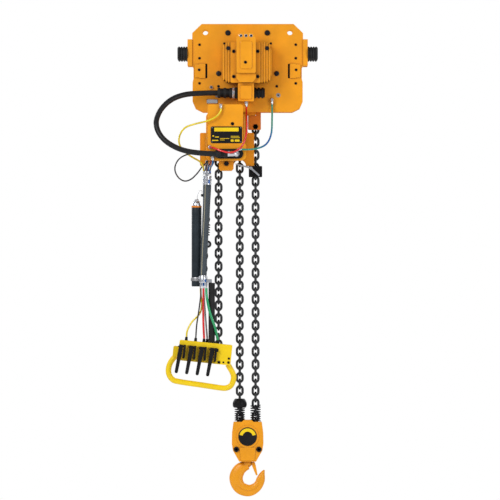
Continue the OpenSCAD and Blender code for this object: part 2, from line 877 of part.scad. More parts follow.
module controller_fittings() {
    color(black) at_control() {
        for (n = [0:3]) {
            translate([lever_u(n) + 14, -body_half_d - 26, -44]) cube([12, 26, 76]);
            rod_x(lever_y, lever_hinge_w, lever_pin_r, lever_u(n) - 17, lever_u(n) + 15);
        }
        rod_x(lever_y, lever_hinge_w, 9, lever_u(3) + 26, lever_u(3) + 34);
        for (g = gland_at) rod_z(g[0], g[1], 8, gland_w, gland_w + 20);
        for (b = control_bolts) hex_y(b[0], b[1], b[2], -body_half_d, 4);
        hex_y(-160, -10, 5, -22, 4);
    }
}

// ---------- Hoses: routes are points on each hose's centre line ----------

supply_route = [
    [-165, -200, -130], [-200, -200, -130], [-260, -204, -132], [-320, -214, -136], [-370, -228, -147],
    [-415, -245, -167], [-455, -266, -200], [-485, -290, -243], [-499, -314, -293], [-487, -334, -345],
    [-450, -349, -393], [-392, -358, -430], [-330, -362, -451], [-260, -362, -461], [-210, -362, -464],
    [-175, -362, -465]];

yellow_route = [
    [-146, -345, -217], [-147, -347, -232], [-171, -352, -262], [-220, -352, -286], [-285, -345, -302],
    [-340, -330, -322], [-368, -312, -358], [-375, -292, -398], [-362, -266, -434], [-330, -236, -464],
    [-296, -210, -486], [-264, -186, -504], [-246, -170, -526], [-240, -152, -556]];

black_loop_route = [
    [-218, -300, -462], [-240, -302, -462], [-290, -300, -463], [-335, -285, -470], [-372, -258, -490],
    [-394, -225, -522], [-397, -195, -558], [-378, -175, -594], [-345, -166, -612], [-309, -162, -601],
    [-275, -156, -568], [-250, -150, -534], [-231, -142, -515], [-222, -134, -500]];

red_route = [
    [-7, -230, -206], [-7, -240, -225], [-6, -290, -262], [-4, -350, -310], [-8, -378, -362],
    [-24, -390, -412], [-55, -394, -446], [-98, -396, -459], [-145, -388, -449], [-180, -372, -435],
    [-206, -348, -428]];

green_route = [
    [134, -150, -192], [134, -152, -212], [134, -180, -270], [130, -220, -350], [108, -262, -404],
    [70, -300, -430], [15, -340, -441], [-34, -352, -441]];

blue_route = [
    [-190, -340, -502], [-191, -336, -515], [-196, -305, -530], [-205, -252, -532], [-211, -210, -530],
    [-214, -180, -539], [-214.5, -168, -556]];

dark_red_route = [[-203, -180, -500], [-204, -178, -512], [-214, -165, -532], [-223, -152, -556]];

left_black_route = [[-218, -200, -500], [-219, -198, -512], [-228, -180, -532], [-231.5, -168, -556]];

right_black_route = [[-186, -150, -500], [-187, -150, -512], [-202, -152, -538], [-206, -152, -556]];

lower_routes = [
    [[-258, -152, -1200], [-256, -151, -1240], [-251, -150, -1292], [-264, -151, -1340], [-306, -155, -1385],
        [-330, -159, -1430], control_at(gland_at[0][0], gland_at[0][1], gland_w + 20)],
    [[-256, -170, -1200], [-257, -171, -1240], [-267, -169, -1320], [-279, -164, -1400],
        control_at(gland_at[1][0], gland_at[1][1], gland_w + 20)],
    [[-242, -170, -1200], [-242, -171, -1236], [-243, -172, -1320], [-242, -171, -1400],
        control_at(gland_at[2][0], gland_at[2][1], gland_w + 20)],
    [[-241, -149, -1200], [-240, -147, -1236], [-234, -138, -1320], [-228, -134, -1400],
        control_at(gland_at[3][0], gland_at[3][1], gland_w + 20)],
    [[-226, -171, -1200], [-226, -177, -1224], [-222, -187, -1259], [-207, -190, -1331], [-183, -186, -1402],
        [-170, -172, -1450], control_at(gland_at[4][0], gland_at[4][1], gland_w + 20)]];
lower_radii = [5, 4, 6, 5, 7];

module supply_hose() {
    color(black) sweep(smooth(supply_route, 1), 15, 12);
}

module upper_control_hoses() {
    color(yellow) sweep(yellow_route, 5, 8);
    color(black) sweep(black_loop_route, 4, 8);
    color("red") sweep(red_route, 5, 8);
    color("teal") sweep(green_route, 5, 8);
    color("blue") sweep(blue_route, 4, 8);
    color("darkred") sweep(dark_red_route, 4, 8);
    color(black) for (route = [left_black_route, right_black_route]) sweep(route, 3, 8);
}

module lower_control_hoses() {
    for (i = [0:len(lower_routes) - 1]) color("green") sweep(smooth(lower_routes[i], 2), lower_radii[i], 8);
}

front_side_plate();
rear_side_plate();
tie_bars();
load_bar();
wheel_axles();
wheel_bearings();
front_left_wheel();
front_right_wheel();
rear_left_wheel();
rear_right_wheel();
drive_pinion();
trolley_motor();
trolley_motor_cover();
trolley_valve();
silencer();
hose_couplings();
end_brackets();
rubber_buffers();
guide_blocks();
hose_fittings();
black_bolts();
hoist_front_cover();
hoist_motor_housing();
hoist_chain_housing();
hoist_gear_housing();
nameplate();
load_sheave();
sheave_bearings();
chain_anchor();
air_port();
limit_switch();
limit_lever();
slack_chain();
upper_chain();
middle_chain();
lower_chain();
block_front_half();
block_rear_half();
block_sheave();
block_axle();
block_bolts();
chain_springs();
spring_cap();
hook();
hook_bearing();
hook_latch();
pendant_sleeve();
pendant_clamps();
pendant_cylinder();
exhaust_tube();
controller_body();
controller_handle();
lever_1();
lever_2();
lever_3();
lever_4();
controller_fittings();
supply_hose();
upper_control_hoses();
lower_control_hoses();
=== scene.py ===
import math
import random

import bmesh
import bpy
from mathutils import Matrix, Vector


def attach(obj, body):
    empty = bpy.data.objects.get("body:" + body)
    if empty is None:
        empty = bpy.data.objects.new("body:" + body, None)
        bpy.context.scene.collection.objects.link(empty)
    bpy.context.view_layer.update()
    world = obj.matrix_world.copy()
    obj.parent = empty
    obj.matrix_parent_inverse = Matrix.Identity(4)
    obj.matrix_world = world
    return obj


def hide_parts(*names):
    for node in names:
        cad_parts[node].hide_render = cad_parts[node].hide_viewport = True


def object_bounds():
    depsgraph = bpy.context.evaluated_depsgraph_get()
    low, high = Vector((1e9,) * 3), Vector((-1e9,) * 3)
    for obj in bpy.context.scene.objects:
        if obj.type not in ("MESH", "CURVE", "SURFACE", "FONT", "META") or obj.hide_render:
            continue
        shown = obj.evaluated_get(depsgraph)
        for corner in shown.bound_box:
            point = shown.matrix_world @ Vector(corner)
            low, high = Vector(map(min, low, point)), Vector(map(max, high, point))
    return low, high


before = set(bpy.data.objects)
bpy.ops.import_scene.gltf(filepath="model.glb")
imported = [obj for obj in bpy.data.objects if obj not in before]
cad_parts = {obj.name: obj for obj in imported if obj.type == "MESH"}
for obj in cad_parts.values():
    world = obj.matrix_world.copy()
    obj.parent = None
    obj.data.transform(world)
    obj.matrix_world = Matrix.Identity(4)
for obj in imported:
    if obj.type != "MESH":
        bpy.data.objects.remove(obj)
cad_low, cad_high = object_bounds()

MM = 0.001
UP, RIGHT, FRONT, BACK = (0, 0, 1), (1, 0, 0), (0, -1, 0), (0, 1, 0)
random.seed(7)

# ---------- The hoist's driving dimensions, in millimetres, as in its CAD source ----------

PITCH = 36.0
LINK_D = 13.0
LINK_W = 18.0
LINK_HALF = PITCH / 2 + 0.15
BLOCK_DROP = 2016.0
BLOCK_R = PITCH / (2 * math.tan(math.pi / 8))
LOAD_R = 58.3
LOAD_X = -BLOCK_R - LOAD_R
LOAD_ROW = 45
COVER_FRONT = -330.0
PLATE_OUT = 133.0
PENDANT_Y = -160.0
CONTROL = Vector((-233.0, PENDANT_Y, -1552.0))
CONTROL_TILT = math.radians(5.8)
BODY_HALF_D = 40.0
GLAND_W = 56.0


def row_z(n):
    """Height of row n of the chain's common grid."""
    return -BLOCK_DROP + n * PITCH


def at_control(u, y, w):
    """A point given on the tilted controller, in the row frame."""
    c, s = math.cos(CONTROL_TILT), math.sin(CONTROL_TILT)
    return CONTROL + Vector((u * c + w * s, y, -u * s + w * c))


# ---------- Camera ----------

VIEW_CENTRE = (13.0, -990.0)
VIEW_WIDTH = 2745.0
LENS = 500.0


def add_camera():
    """A level camera on the hoist's front axis, with a long lens."""
    cam = bpy.data.cameras.new("camera")
    cam.lens = LENS
    cam.sensor_width = 36.0
    cam.clip_end = 200.0
    ob = bpy.data.objects.new("camera", cam)
    distance = VIEW_WIDTH * MM * LENS / cam.sensor_width
    ob.location = (VIEW_CENTRE[0] * MM, -distance - 0.1, VIEW_CENTRE[1] * MM)
    ob.rotation_euler = (math.pi / 2, 0, 0)
    bpy.context.scene.collection.objects.link(ob)
    bpy.context.scene.camera = ob


add_camera()

# ---------- Materials ----------


def principled(name, colour, roughness, metallic=0.0, **sockets):
    """A new material with its Principled shader's constant sockets set."""
    mat = bpy.data.materials.new(name)
    mat.use_nodes = True
    shader = mat.node_tree.nodes["Principled BSDF"]
    shader.inputs["Base Color"].default_value = (*colour, 1)
    shader.inputs["Roughness"].default_value = roughness
    shader.inputs["Metallic"].default_value = metallic
    for socket, value in sockets.items():
        shader.inputs[socket.replace("_", " ")].default_value = value
    mat.diffuse_color = (*colour, 1)
    return mat, shader


def node(mat, kind, inputs=None, **settings):
    """Adds a node; an input's value is a number, a colour or another node's output socket."""
    made = mat.node_tree.nodes.new("ShaderNode" + kind)
    for key, value in settings.items():
        setattr(made, key, value)
    for key, value in (inputs or {}).items():
        if isinstance(value, bpy.types.NodeSocket):
            mat.node_tree.links.new(value, made.inputs[key])
        else:
            made.inputs[key].default_value = value
    return made


def noise(mat, scale, detail=4.0, stretch=(1, 1, 1)):
    """Noise in the object's own metres, stretched along its axes."""
    place = node(mat, "TexCoord").outputs["Object"]
    if stretch != (1, 1, 1):
        place = node(mat, "Mapping", {"Vector": place, "Scale": stretch}).outputs["Vector"]
    return node(mat, "TexNoise", {"Vector": place, "Scale": scale, "Detail": detail}).outputs["Fac"]


def ramp(mat, factor, low, high, start=0.0, end=1.0):
    """Maps a factor between start and end onto low to high."""
    made = node(mat, "MapRange", {"Value": factor, "From Min": start, "From Max": end,
                                   "To Min": low, "To Max": high})
    return made.outputs["Result"]


def mixed(mat, factor, a, b):
    """Colour a where factor is 0 and b where it is 1."""
    made = node(mat, "Mix", data_type="RGBA")
    for index, value in ((0, factor), (6, a), (7, b)):
        if isinstance(value, bpy.types.NodeSocket):
            mat.node_tree.links.new(value, made.inputs[index])
        else:
            made.inputs[index].default_value = value if index == 0 else (*value, 1)
    return made.outputs[2]


def shade(colour, k):
    return tuple(min(1.0, c * k) for c in colour)


def edge_mask(mat, radius, start, end):
    """Near 1 where the surface turns sharply within radius, else 0."""
    bevel = node(mat, "Bevel", {"Radius": radius}, samples=4).outputs["Normal"]
    normal = node(mat, "NewGeometry").outputs["Normal"]
    dot = node(mat, "VectorMath", {0: bevel, 1: normal}, operation="DOT_PRODUCT").outputs["Value"]
    return ramp(mat, dot, 1.0, 0.0, start, end)


def bumped(mat, shader, height, strength, distance):
    made = node(mat, "Bump", {"Height": height, "Strength": strength, "Distance": distance})
    mat.node_tree.links.new(made.outputs["Normal"], shader.inputs["Normal"])


def feed(mat, socket, shader, name):
    mat.node_tree.links.new(socket, shader.inputs[name])


def painted(name, colour, corner_shade=0.34, roughness=0.33, chip=(0.30, 0.29, 0.28), wear=0.5, grain=0.35):
    """Sprayed paint on castings: soft tone patches, orange peel, worn edges, and painted shade that darkens the
    colour in corners and between parts.
    """
    mat, shader = principled(name, colour, roughness, Coat_Weight=0.12, Coat_Roughness=0.2,
                             Specular_IOR_Level=0.3)
    patches = noise(mat, 9.0, 3.0)
    tone = mixed(mat, ramp(mat, patches, 0, 1, 0.3, 0.7), shade(colour, 0.90), shade(colour, 1.06))
    # Painted shade: the colour darkens where ambient occlusion finds surfaces close by, in corners, creases and
    # between parts.
    hidden = node(mat, "AmbientOcclusion", {"Distance": 0.035}, samples=6).outputs["AO"]
    painted_shade_mask = ramp(mat, hidden, 0.75, 0.0, 0.35, 0.85)
    tone = mixed(mat, painted_shade_mask, tone, shade(colour, corner_shade))
    scuffs = ramp(mat, noise(mat, 140.0, 6.0), 0, 1, 0.50, 0.62)
    edges = edge_mask(mat, 0.0018, 0.86, 0.97)
    worn = node(mat, "Math", {0: edges, 1: scuffs}, operation="MULTIPLY").outputs[0]
    worn = node(mat, "Math", {0: worn, 1: wear}, operation="MULTIPLY").outputs[0]
    feed(mat, mixed(mat, worn, tone, chip), shader, "Base Color")
    feed(mat, ramp(mat, noise(mat, 38.0, 5.0), roughness - 0.07, roughness + 0.12), shader, "Roughness")
    bumped(mat, shader, noise(mat, 420.0, 3.0), grain, 0.0006)
    return mat


def metal(name, colour, roughness=0.3, brushed=(1, 1, 1), tarnish=0.5):
    """Bare or plated metal with fine machining marks and tarnish patches."""
    mat, shader = principled(name, colour, roughness, 1.0)
    patches = ramp(mat, noise(mat, 24.0, 5.0), 0, 1, 0.35, 0.7)
    feed(mat, mixed(mat, patches, colour, shade(colour, 1 - tarnish * 0.45)), shader, "Base Color")
    marks = noise(mat, 500.0, 3.0, brushed)
    feed(mat, ramp(mat, marks, roughness - 0.08, roughness + 0.16, 0.3, 0.7), shader, "Roughness")
    bumped(mat, shader, marks, 0.18, 0.0003)
    return mat


def plastic(name, colour, roughness=0.45, grain=900.0, lift=1.6, depth=0.25):
    """Moulded plastic or rubber with fine grain, dusty tone patches and slightly rubbed edges."""
    mat, shader = principled(name, colour, roughness, Specular_IOR_Level=0.17)
    patches = ramp(mat, noise(mat, 18.0, 5.0), 0, 1, 0.4, 0.7)
    tone = mixed(mat, patches, colour, shade(colour, lift))
    rubbed = edge_mask(mat, 0.0012, 0.9, 0.98)
    rubbed = node(mat, "Math", {0: rubbed, 1: 0.35}, operation="MULTIPLY").outputs[0]
    feed(mat, mixed(mat, rubbed, tone, shade(colour, lift * 3.0)), shader, "Base Color")
    feed(mat, ramp(mat, noise(mat, 60.0, 4.0), roughness - 0.1, roughness + 0.15), shader, "Roughness")
    bumped(mat, shader, noise(mat, grain, 2.0), depth, 0.0004)
    return mat


def hose_skin(name, colour, roughness=0.22):
    """Smooth extruded tube, a little uneven in tone."""
    mat, shader = principled(name, colour, roughness, Coat_Weight=0.4, Coat_Roughness=0.1)
    patches = ramp(mat, noise(mat, 30.0, 4.0), 0, 1, 0.3, 0.7)
    feed(mat, mixed(mat, patches, shade(colour, 0.82), shade(colour, 1.1)), shader, "Base Color")
    feed(mat, ramp(mat, noise(mat, 120.0, 3.0), roughness - 0.06, roughness + 0.1), shader, "Roughness")
    bumped(mat, shader, noise(mat, 300.0, 2.0), 0.12, 0.0003)
    return mat


def green_to_blue():
    """The right control hose: green at both ends and blue along its lowest right bend."""
    green, blue = (0.02, 0.30, 0.20), (0.0, 0.13, 0.42)
    mat, shader = principled("hose_green_blue", green, 0.22, Coat_Weight=0.4, Coat_Roughness=0.1)
    place = node(mat, "TexCoord").outputs["Object"]
    parts = node(mat, "SeparateXYZ", {"Vector": place}).outputs
    lower = ramp(mat, parts["Z"], 1, 0, -0.37, -0.30)
    right = ramp(mat, parts["X"], 0, 1, 0.045, 0.10)
    share = node(mat, "Math", {0: lower, 1: right}, operation="MULTIPLY").outputs[0]
    feed(mat, mixed(mat, share, green, blue), shader, "Base Color")
    feed(mat, ramp(mat, noise(mat, 120.0, 3.0), 0.16, 0.3), shader, "Roughness")
    bumped(mat, shader, noise(mat, 300.0, 2.0), 0.12, 0.0003)
    return mat


def braid():
    """Woven sleeve: two crossing sets of yarns, drawn as waves along and round the tube."""
    dark, light = (0.018, 0.025, 0.033), (0.075, 0.098, 0.12)
    mat, shader = principled("woven_sleeve", dark, 0.62, Sheen_Weight=0.12, Sheen_Roughness=0.4)
    place = node(mat, "TexCoord").outputs["UV"]
    height = None
    for tilt in (1, -1):
        turned = node(mat, "Mapping", {"Vector": place, "Rotation": (0, 0, tilt * math.pi / 4)})
        turned = turned.outputs["Vector"]
        wave = node(mat, "TexWave", {"Vector": turned, "Scale": 1.0, "Distortion": 0.4}, bands_direction="X")
        yarn = wave.outputs["Fac"]
        if height is None:
            height = yarn
        else:
            height = node(mat, "Math", {0: height, 1: yarn}, operation="MAXIMUM").outputs[0]
    tone = mixed(mat, ramp(mat, height, 0, 1, 0.25, 1.0), dark, light)
    dust = ramp(mat, noise(mat, 26.0, 5.0), 0, 0.35, 0.4, 0.75)
    feed(mat, mixed(mat, dust, tone, (0.048, 0.058, 0.066)), shader, "Base Color")
    bumped(mat, shader, height, 0.6, 0.0012)
    return mat


# The last number of each painted() call sets how dark the painted shade in its corners and gaps gets.
ORANGE = painted("orange_paint", (0.90, 0.352, 0.006), 0.42)
# A darker copy of the orange paint. On the chain anchor it is painted shade, for the shade it sits in under the
# beam. It also colours the ring on the valve tube.
DEEP_ORANGE_AND_SHADE = painted("deep_orange_and_painted_shade", (0.84, 0.25, 0.010), 0.5)
YELLOW = painted("yellow_paint", (0.98, 0.66, 0.005), 0.92)
STEEL = metal("machined_steel", (0.48, 0.48, 0.49), 0.32, (1, 12, 1))
PLATED = metal("plated_fittings", (0.74, 0.76, 0.80), 0.18, (6, 6, 1), 0.25)
BLUED = metal("blue_ring", (0.05, 0.16, 0.48), 0.3, (1, 1, 1), 0.2)
CHAIN = metal("chain_steel", (0.065, 0.067, 0.07), 0.38, (1, 1, 1), 0.5)
BLACK_STEEL = metal("black_steel", (0.035, 0.035, 0.04), 0.34, (1, 1, 1), 0.4)
BLACK = plastic("black_plastic", (0.007, 0.007, 0.008), 0.4)
RUBBER = plastic("black_rubber", (0.014, 0.014, 0.014), 0.5, 600.0, 1.8, 0.35)
HOSE = plastic("black_hose", (0.016, 0.016, 0.017), 0.27, 260.0, 1.5, 0.15)
CYLINDER = plastic("grey_tube", (0.019, 0.026, 0.032), 0.36, 1200.0, 1.5, 0.15)
SLEEVE = braid()
STRIPE = plastic("beige_stripe", (0.32, 0.29, 0.20), 0.7, 1500.0, 1.2, 0.4)

# ---------- Shape tools ----------


class Shape:
    """Collects solids of one piece, in millimetres, then becomes one object in metres."""

    def __init__(self):
        self.verts, self.faces, self.finish, self.uvs = [], [], [], []

    def add(self, verts, faces, mat, turn=None, uvs=None):
        start = len(self.verts)
        self.verts += [turn @ Vector(v) if turn else Vector(v) for v in verts]
        self.faces += [tuple(i + start for i in f) for f in faces]
        self.finish += [mat] * len(faces)
        self.uvs += uvs or [[(0, 0)] * len(f) for f in faces]

    def lathe(self, profile, at, axis, mat, sides=40, start=0.0):
        """Turns [(radius, height)] about an axis through at; a radius of 0 closes an end."""
        turn = Matrix.Translation(at) @ Vector(axis).to_track_quat("Z", "Y").to_matrix().to_4x4()
        verts, rings = [], []
        for r, h in profile:
            if r < 1e-6:
                rings.append([len(verts)])
                verts.append((0, 0, h))
                continue
            rings.append(list(range(len(verts), len(verts) + sides)))
            for k in range(sides):
                a = start + 2 * math.pi * k / sides
                verts.append((r * math.cos(a), r * math.sin(a), h))
        faces = []
        for a, b in zip(rings[:-1], rings[1:]):
            for k in range(sides):
                m = (k + 1) % sides
                if len(a) == 1 and len(b) > 1:
                    faces.append((a[0], b[m], b[k]))
                elif len(b) == 1 and len(a) > 1:
                    faces.append((a[k], a[m], b[0]))
                elif len(a) > 1 and len(b) > 1:
                    faces.append((a[k], a[m], b[m], b[k]))
        if len(rings[0]) > 1:
            faces.append(tuple(reversed(rings[0])))
        if len(rings[-1]) > 1:
            faces.append(tuple(rings[-1]))
        self.add(verts, faces, mat, turn)

    def rod(self, at, axis, r, length, mat, edge=1.0, sides=40, start=0.0):
        """Cylinder with chamfered ends, from at along axis."""
        e = min(edge, r * 0.4, length * 0.4)
        self.lathe([(0, 0), (r - e, 0), (r, e), (r, length - e), (r - e, length), (0, length)],
                   at, axis, mat, sides, start)

    def tube(self, points, radius, mat, sides=12, up=(0, 1, 0), shape=None, repeat=1.0):
        """Sweeps a round or shaped section along points; radius may be a list of (width, depth)."""
        points = [Vector(p) for p in points]
        n = len(points)
        verts, faces, uvs, run = [], [], [], [0.0]
        for a, b in zip(points[:-1], points[1:]):
            run.append(run[-1] + (b - a).length)
        for i, p in enumerate(points):
            d = (points[min(i + 1, n - 1)] - points[max(i - 1, 0)]).normalized()
            u = d.cross(Vector(up)).normalized()
            v = d.cross(u)
            w, h = radius[i] if isinstance(radius, list) else (radius, radius)
            for k in range(sides):
                a = 2 * math.pi * k / sides
                x, y = shape(a, i / (n - 1)) if shape else (math.cos(a), math.sin(a))
                verts.append(p + u * w * x + v * h * y)
        for i in range(n - 1):
            for k in range(sides):
                m = (k + 1) % sides
                faces.append((i * sides + k, (i + 1) * sides + k, (i + 1) * sides + m, i * sides + m))
                v0, v1 = run[i] * repeat, run[i + 1] * repeat
                u0, u1 = k * 48 / sides, (k + 1) * 48 / sides
                uvs.append([(u0, v0), (u0, v1), (u1, v1), (u1, v0)])
        for ring in (list(range(sides)), [(n - 1) * sides + k for k in range(sides - 1, -1, -1)]):
            faces.append(tuple(ring))
            uvs.append([(0, 0)] * sides)
        self.add(verts, faces, mat, None, uvs)

    def box(self, low, high, mat, edge=1.5, turn=None):
        """Block with chamfered edges between two corners."""
        low, high = Vector(low), Vector(high)
        e = min(edge, *[(high[i] - low[i]) * 0.45 for i in range(3)])
        verts, index = [], {}
        for corner in range(8):
            side = [(corner >> i) & 1 for i in range(3)]
            for flat in range(3):
                p = [(high[i] if side[i] else low[i]) for i in range(3)]
                for i in range(3):
                    if i != flat:
                        p[i] += -e if side[i] else e
                index[corner, flat] = len(verts)
                verts.append(p)
        hull = bmesh.new()
        for v in verts:
            hull.verts.new(v)
        bmesh.ops.convex_hull(hull, input=hull.verts)
        bmesh.ops.dissolve_limit(hull, angle_limit=0.01, verts=hull.verts, edges=hull.edges)
        hull.verts.index_update()
        faces = [[v.index for v in f.verts] for f in hull.faces]
        self.add([v.co.copy() for v in hull.verts], faces, mat, turn)
        hull.free()

    def prism(self, outline, y0, y1, mat, edge=1.5, turn=None):
        """Outline in X and Z, from depth y0 to y1, with both faces' rims chamfered."""
        points = [Vector((p[0], p[1])) for p in outline]
        area = sum(a.x * b.y - b.x * a.y for a, b in zip(points, points[1:] + points[:1]))
        if area < 0:
            points.reverse()
        n = len(points)
        inner = []
        for i, p in enumerate(points):
            a, b = (p - points[i - 1]).normalized(), (points[(i + 1) % n] - p).normalized()
            normal = Vector((-(a + b).y, (a + b).x)).normalized()
            reach = edge / max(0.4, normal.dot(Vector((-a.y, a.x))))
            inner.append(p + normal * reach)
        rows = [(inner, y0), (points, y0 + edge), (points, y1 - edge), (inner, y1)]
        verts = [(p.x, y, p.y) for row, y in rows for p in row]
        faces = [tuple(range(n)), tuple(3 * n + k for k in range(n - 1, -1, -1))]
        for i in range(3):
            for k in range(n):
                m = (k + 1) % n
                faces.append((i * n + k, (i + 1) * n + k, (i + 1) * n + m, i * n + m))
        self.add(verts, faces, mat, turn)

    def screw(self, at, axis, r, h, mat, hexagon=True, washer=0.0):
        """Socket cap screw, or a chamfered hexagon head, standing on at along axis."""
        if washer:
            self.rod(at, axis, washer, 2.0, mat, 0.6)
            at = Vector(at) + Vector(axis).normalized() * 2.0
            h -= 2.0
        if hexagon:
            self.lathe([(0, 0), (r, 0), (r, h * 0.75), (r * 0.84, h), (r * 0.5, h), (r * 0.44, h - 0.8),
                        (0, h - 0.8)], at, axis, mat, 6)
            return
        self.lathe([(0, 0), (r, 0), (r, h - 1.2), (r - 1.2, h), (r * 0.58, h)], at, axis, mat, 24)
        self.lathe([(r * 0.58, h), (r * 0.50, h - 0.4), (r * 0.50, h * 0.35), (0, h * 0.35)], at, axis, mat,
                   6)

    def place(self, name, body, slot, *replaced, smooth=40.0):
        """Makes the object, rides it on its body and lets it stand for CAD nodes."""
        mesh = bpy.data.meshes.new(name)
        mesh.from_pydata([v * MM for v in self.verts], [], self.faces)
        mats = list(dict.fromkeys(self.finish))
        for mat in mats:
            mesh.materials.append(mat)
        layer = mesh.uv_layers.new(name="UVMap")
        for poly, mat, uv in zip(mesh.polygons, self.finish, self.uvs):
            poly.material_index = mats.index(mat)
            poly.use_smooth = True
            for k in range(poly.loop_total):
                layer.data[poly.loop_start + k].uv = uv[k]
        mesh.set_sharp_from_angle(angle=math.radians(smooth))
        ob = bpy.data.objects.new(name, mesh)
        bpy.context.scene.collection.objects.link(ob)
        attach(ob, body)
        if replaced:
            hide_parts(*replaced)
        return ob


def bevelled(node_name, body, mats, width, segments=2, angle=35.0, choose=None):
    """A copy of a CAD node with rounded edges, which stands for it."""
    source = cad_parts[node_name]
    bm = bmesh.new()
    bm.from_mesh(source.data)
    bmesh.ops.remove_doubles(bm, verts=bm.verts, dist=2e-6)
    bmesh.ops.dissolve_limit(bm, angle_limit=math.radians(0.6), verts=bm.verts, edges=bm.edges)
    mesh = bpy.data.meshes.new(node_name + "_soft")
    for mat in mats:
        mesh.materials.append(mat)
    for f in bm.faces:
        f.smooth = True
        f.material_index = choose(f.calc_center_median() / MM, f.normal) if choose else 0
    bm.to_mesh(mesh)
    bm.free()
    ob = bpy.data.objects.new(node_name + "_soft", mesh)
    bpy.context.scene.collection.objects.link(ob)
    bevel = ob.modifiers.new("round", "BEVEL")
    bevel.width = width * MM
    bevel.segments = segments
    bevel.limit_method = "ANGLE"
    bevel.angle_limit = math.radians(angle)
    bevel.use_clamp_overlap = True
    bevel.harden_normals = False
    flat = ob.modifiers.new("normals", "WEIGHTED_NORMAL")
    flat.keep_sharp = True
    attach(ob, body)
    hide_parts(node_name)
    return ob


def smooth(points, steps):
    """Smooth curve through points, with steps per span."""
    points = [Vector(p) for p in points]
    n = len(points) - 1
    line = []
    for i in range(n):
        a, b, c, d = points[max(i - 1, 0)], points[i], points[i + 1], points[min(i + 2, n)]
        for k in range(steps + (i == n - 1)):
            t = k / steps
            line.append((2 * b + (c - a) * t + (2 * a - 5 * b + 4 * c - d) * t ** 2
                         + (3 * b - a - 3 * c + d) * t ** 3) / 2)
    return line


def rounded(outline, r, steps=4):
    """Closed outline with its corners turned into arcs."""
    made, n = [], len(outline)
    for i in range(n):
        p, q, s = (Vector(outline[(i + k) % n]) for k in (-1, 0, 1))
        u, v = (p - q).normalized(), (s - q).normalized()
        half = math.acos(max(-1, min(1, u.dot(v)))) / 2
        if half > math.pi / 2 - 0.02:
            made.append(q)
            continue
        cut = min(r / math.tan(half), (p - q).length * 0.49, (s - q).length * 0.49)
        a, b = q + u * cut, q + v * cut
        for k in range(steps + 1):
            t = k / steps
            made.append(a * (1 - t) ** 2 + q * 2 * t * (1 - t) + b * t ** 2)
    return made


# ---------- Hoses: each route repeats the CAD route's points ----------


def hose(name, route, radius, mat, body, replaced):
    """One hose along its smooth route."""
    line = [p * MM for p in smooth(route, 6)]
    curve = bpy.data.curves.new(name, "CURVE")
    curve.dimensions = "3D"
    curve.bevel_depth = radius * MM
    curve.bevel_resolution = 4
    curve.use_fill_caps = True
    spline = curve.splines.new("POLY")
    spline.points.add(len(line) - 1)
    for point, place in zip(spline.points, line):
        point.co = (*place, 1)
    spline.use_smooth = True
    curve.materials.append(mat)
    ob = bpy.data.objects.new(name, curve)
    bpy.context.scene.collection.objects.link(ob)
    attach(ob, body)
    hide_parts(replaced)
    return ob


SUPPLY_ROUTE = [
    (-165, -200, -130), (-200, -200, -130), (-260, -204, -132), (-320, -214, -136), (-370, -228, -147),
    (-415, -245, -167), (-455, -266, -200), (-485, -290, -243), (-499, -314, -293), (-487, -334, -345),
    (-450, -349, -393), (-392, -358, -430), (-330, -362, -451), (-260, -362, -461), (-210, -362, -464),
    (-175, -362, -465)]
YELLOW_ROUTE = [
    (-146, -345, -217), (-147, -347, -232), (-171, -352, -262), (-220, -352, -286), (-285, -345, -302),
    (-340, -330, -322), (-368, -312, -358), (-375, -292, -398), (-362, -266, -434), (-330, -236, -464),
    (-296, -210, -486), (-264, -186, -504), (-246, -170, -526), (-240, -152, -556)]
BLACK_LOOP_ROUTE = [
    (-218, -300, -462), (-240, -302, -462), (-290, -300, -463), (-335, -285, -470), (-372, -258, -490),
    (-394, -225, -522), (-397, -195, -558), (-378, -175, -594), (-345, -166, -612), (-309, -162, -601),
    (-275, -156, -568), (-250, -150, -534), (-231, -142, -515), (-222, -134, -500)]
RED_ROUTE = [
    (-7, -230, -206), (-7, -240, -225), (-6, -290, -262), (-4, -350, -310), (-8, -378, -362),
    (-24, -390, -412), (-55, -394, -446), (-98, -396, -459), (-145, -388, -449), (-180, -372, -435),
    (-206, -348, -428)]
GREEN_ROUTE = [
    (134, -150, -192), (134, -152, -212), (134, -180, -270), (130, -220, -350), (108, -262, -404),
    (70, -300, -430), (15, -340, -441), (-34, -352, -441)]
BLUE_ROUTE = [
    (-190, -340, -502), (-191, -336, -515), (-196, -305, -530), (-205, -252, -532), (-211, -210, -530),
    (-214, -180, -539), (-214.5, -168, -556)]
DARK_RED_ROUTE = [(-203, -180, -500), (-204, -178, -512), (-214, -165, -532), (-223, -152, -556)]
LEFT_BLACK_ROUTE = [(-218, -200, -500), (-219, -198, -512), (-228, -180, -532), (-231.5, -168, -556)]
RIGHT_BLACK_ROUTE = [(-186, -150, -500), (-187, -150, -512), (-202, -152, -538), (-206, -152, -556)]
GLAND_AT = [(-110, 0), (-59, 0), (-13, -8), (4, 22), (61, 0)]
LOWER_STARTS = [
    [(-258, -152, -1200), (-256, -151, -1240), (-251, -150, -1292), (-264, -151, -1340), (-306, -155, -1385),
     (-330, -159, -1430)],
    [(-256, -170, -1200), (-257, -171, -1240), (-267, -169, -1320), (-279, -164, -1400)],
    [(-242, -170, -1200), (-242, -171, -1236), (-243, -172, -1320), (-242, -171, -1400)],
    [(-241, -149, -1200), (-240, -147, -1236), (-234, -138, -1320), (-228, -134, -1400)],
    [(-226, -171, -1200), (-226, -177, -1224), (-222, -187, -1259), (-207, -190, -1331), (-183, -186, -1402),
     (-170, -172, -1450)]]

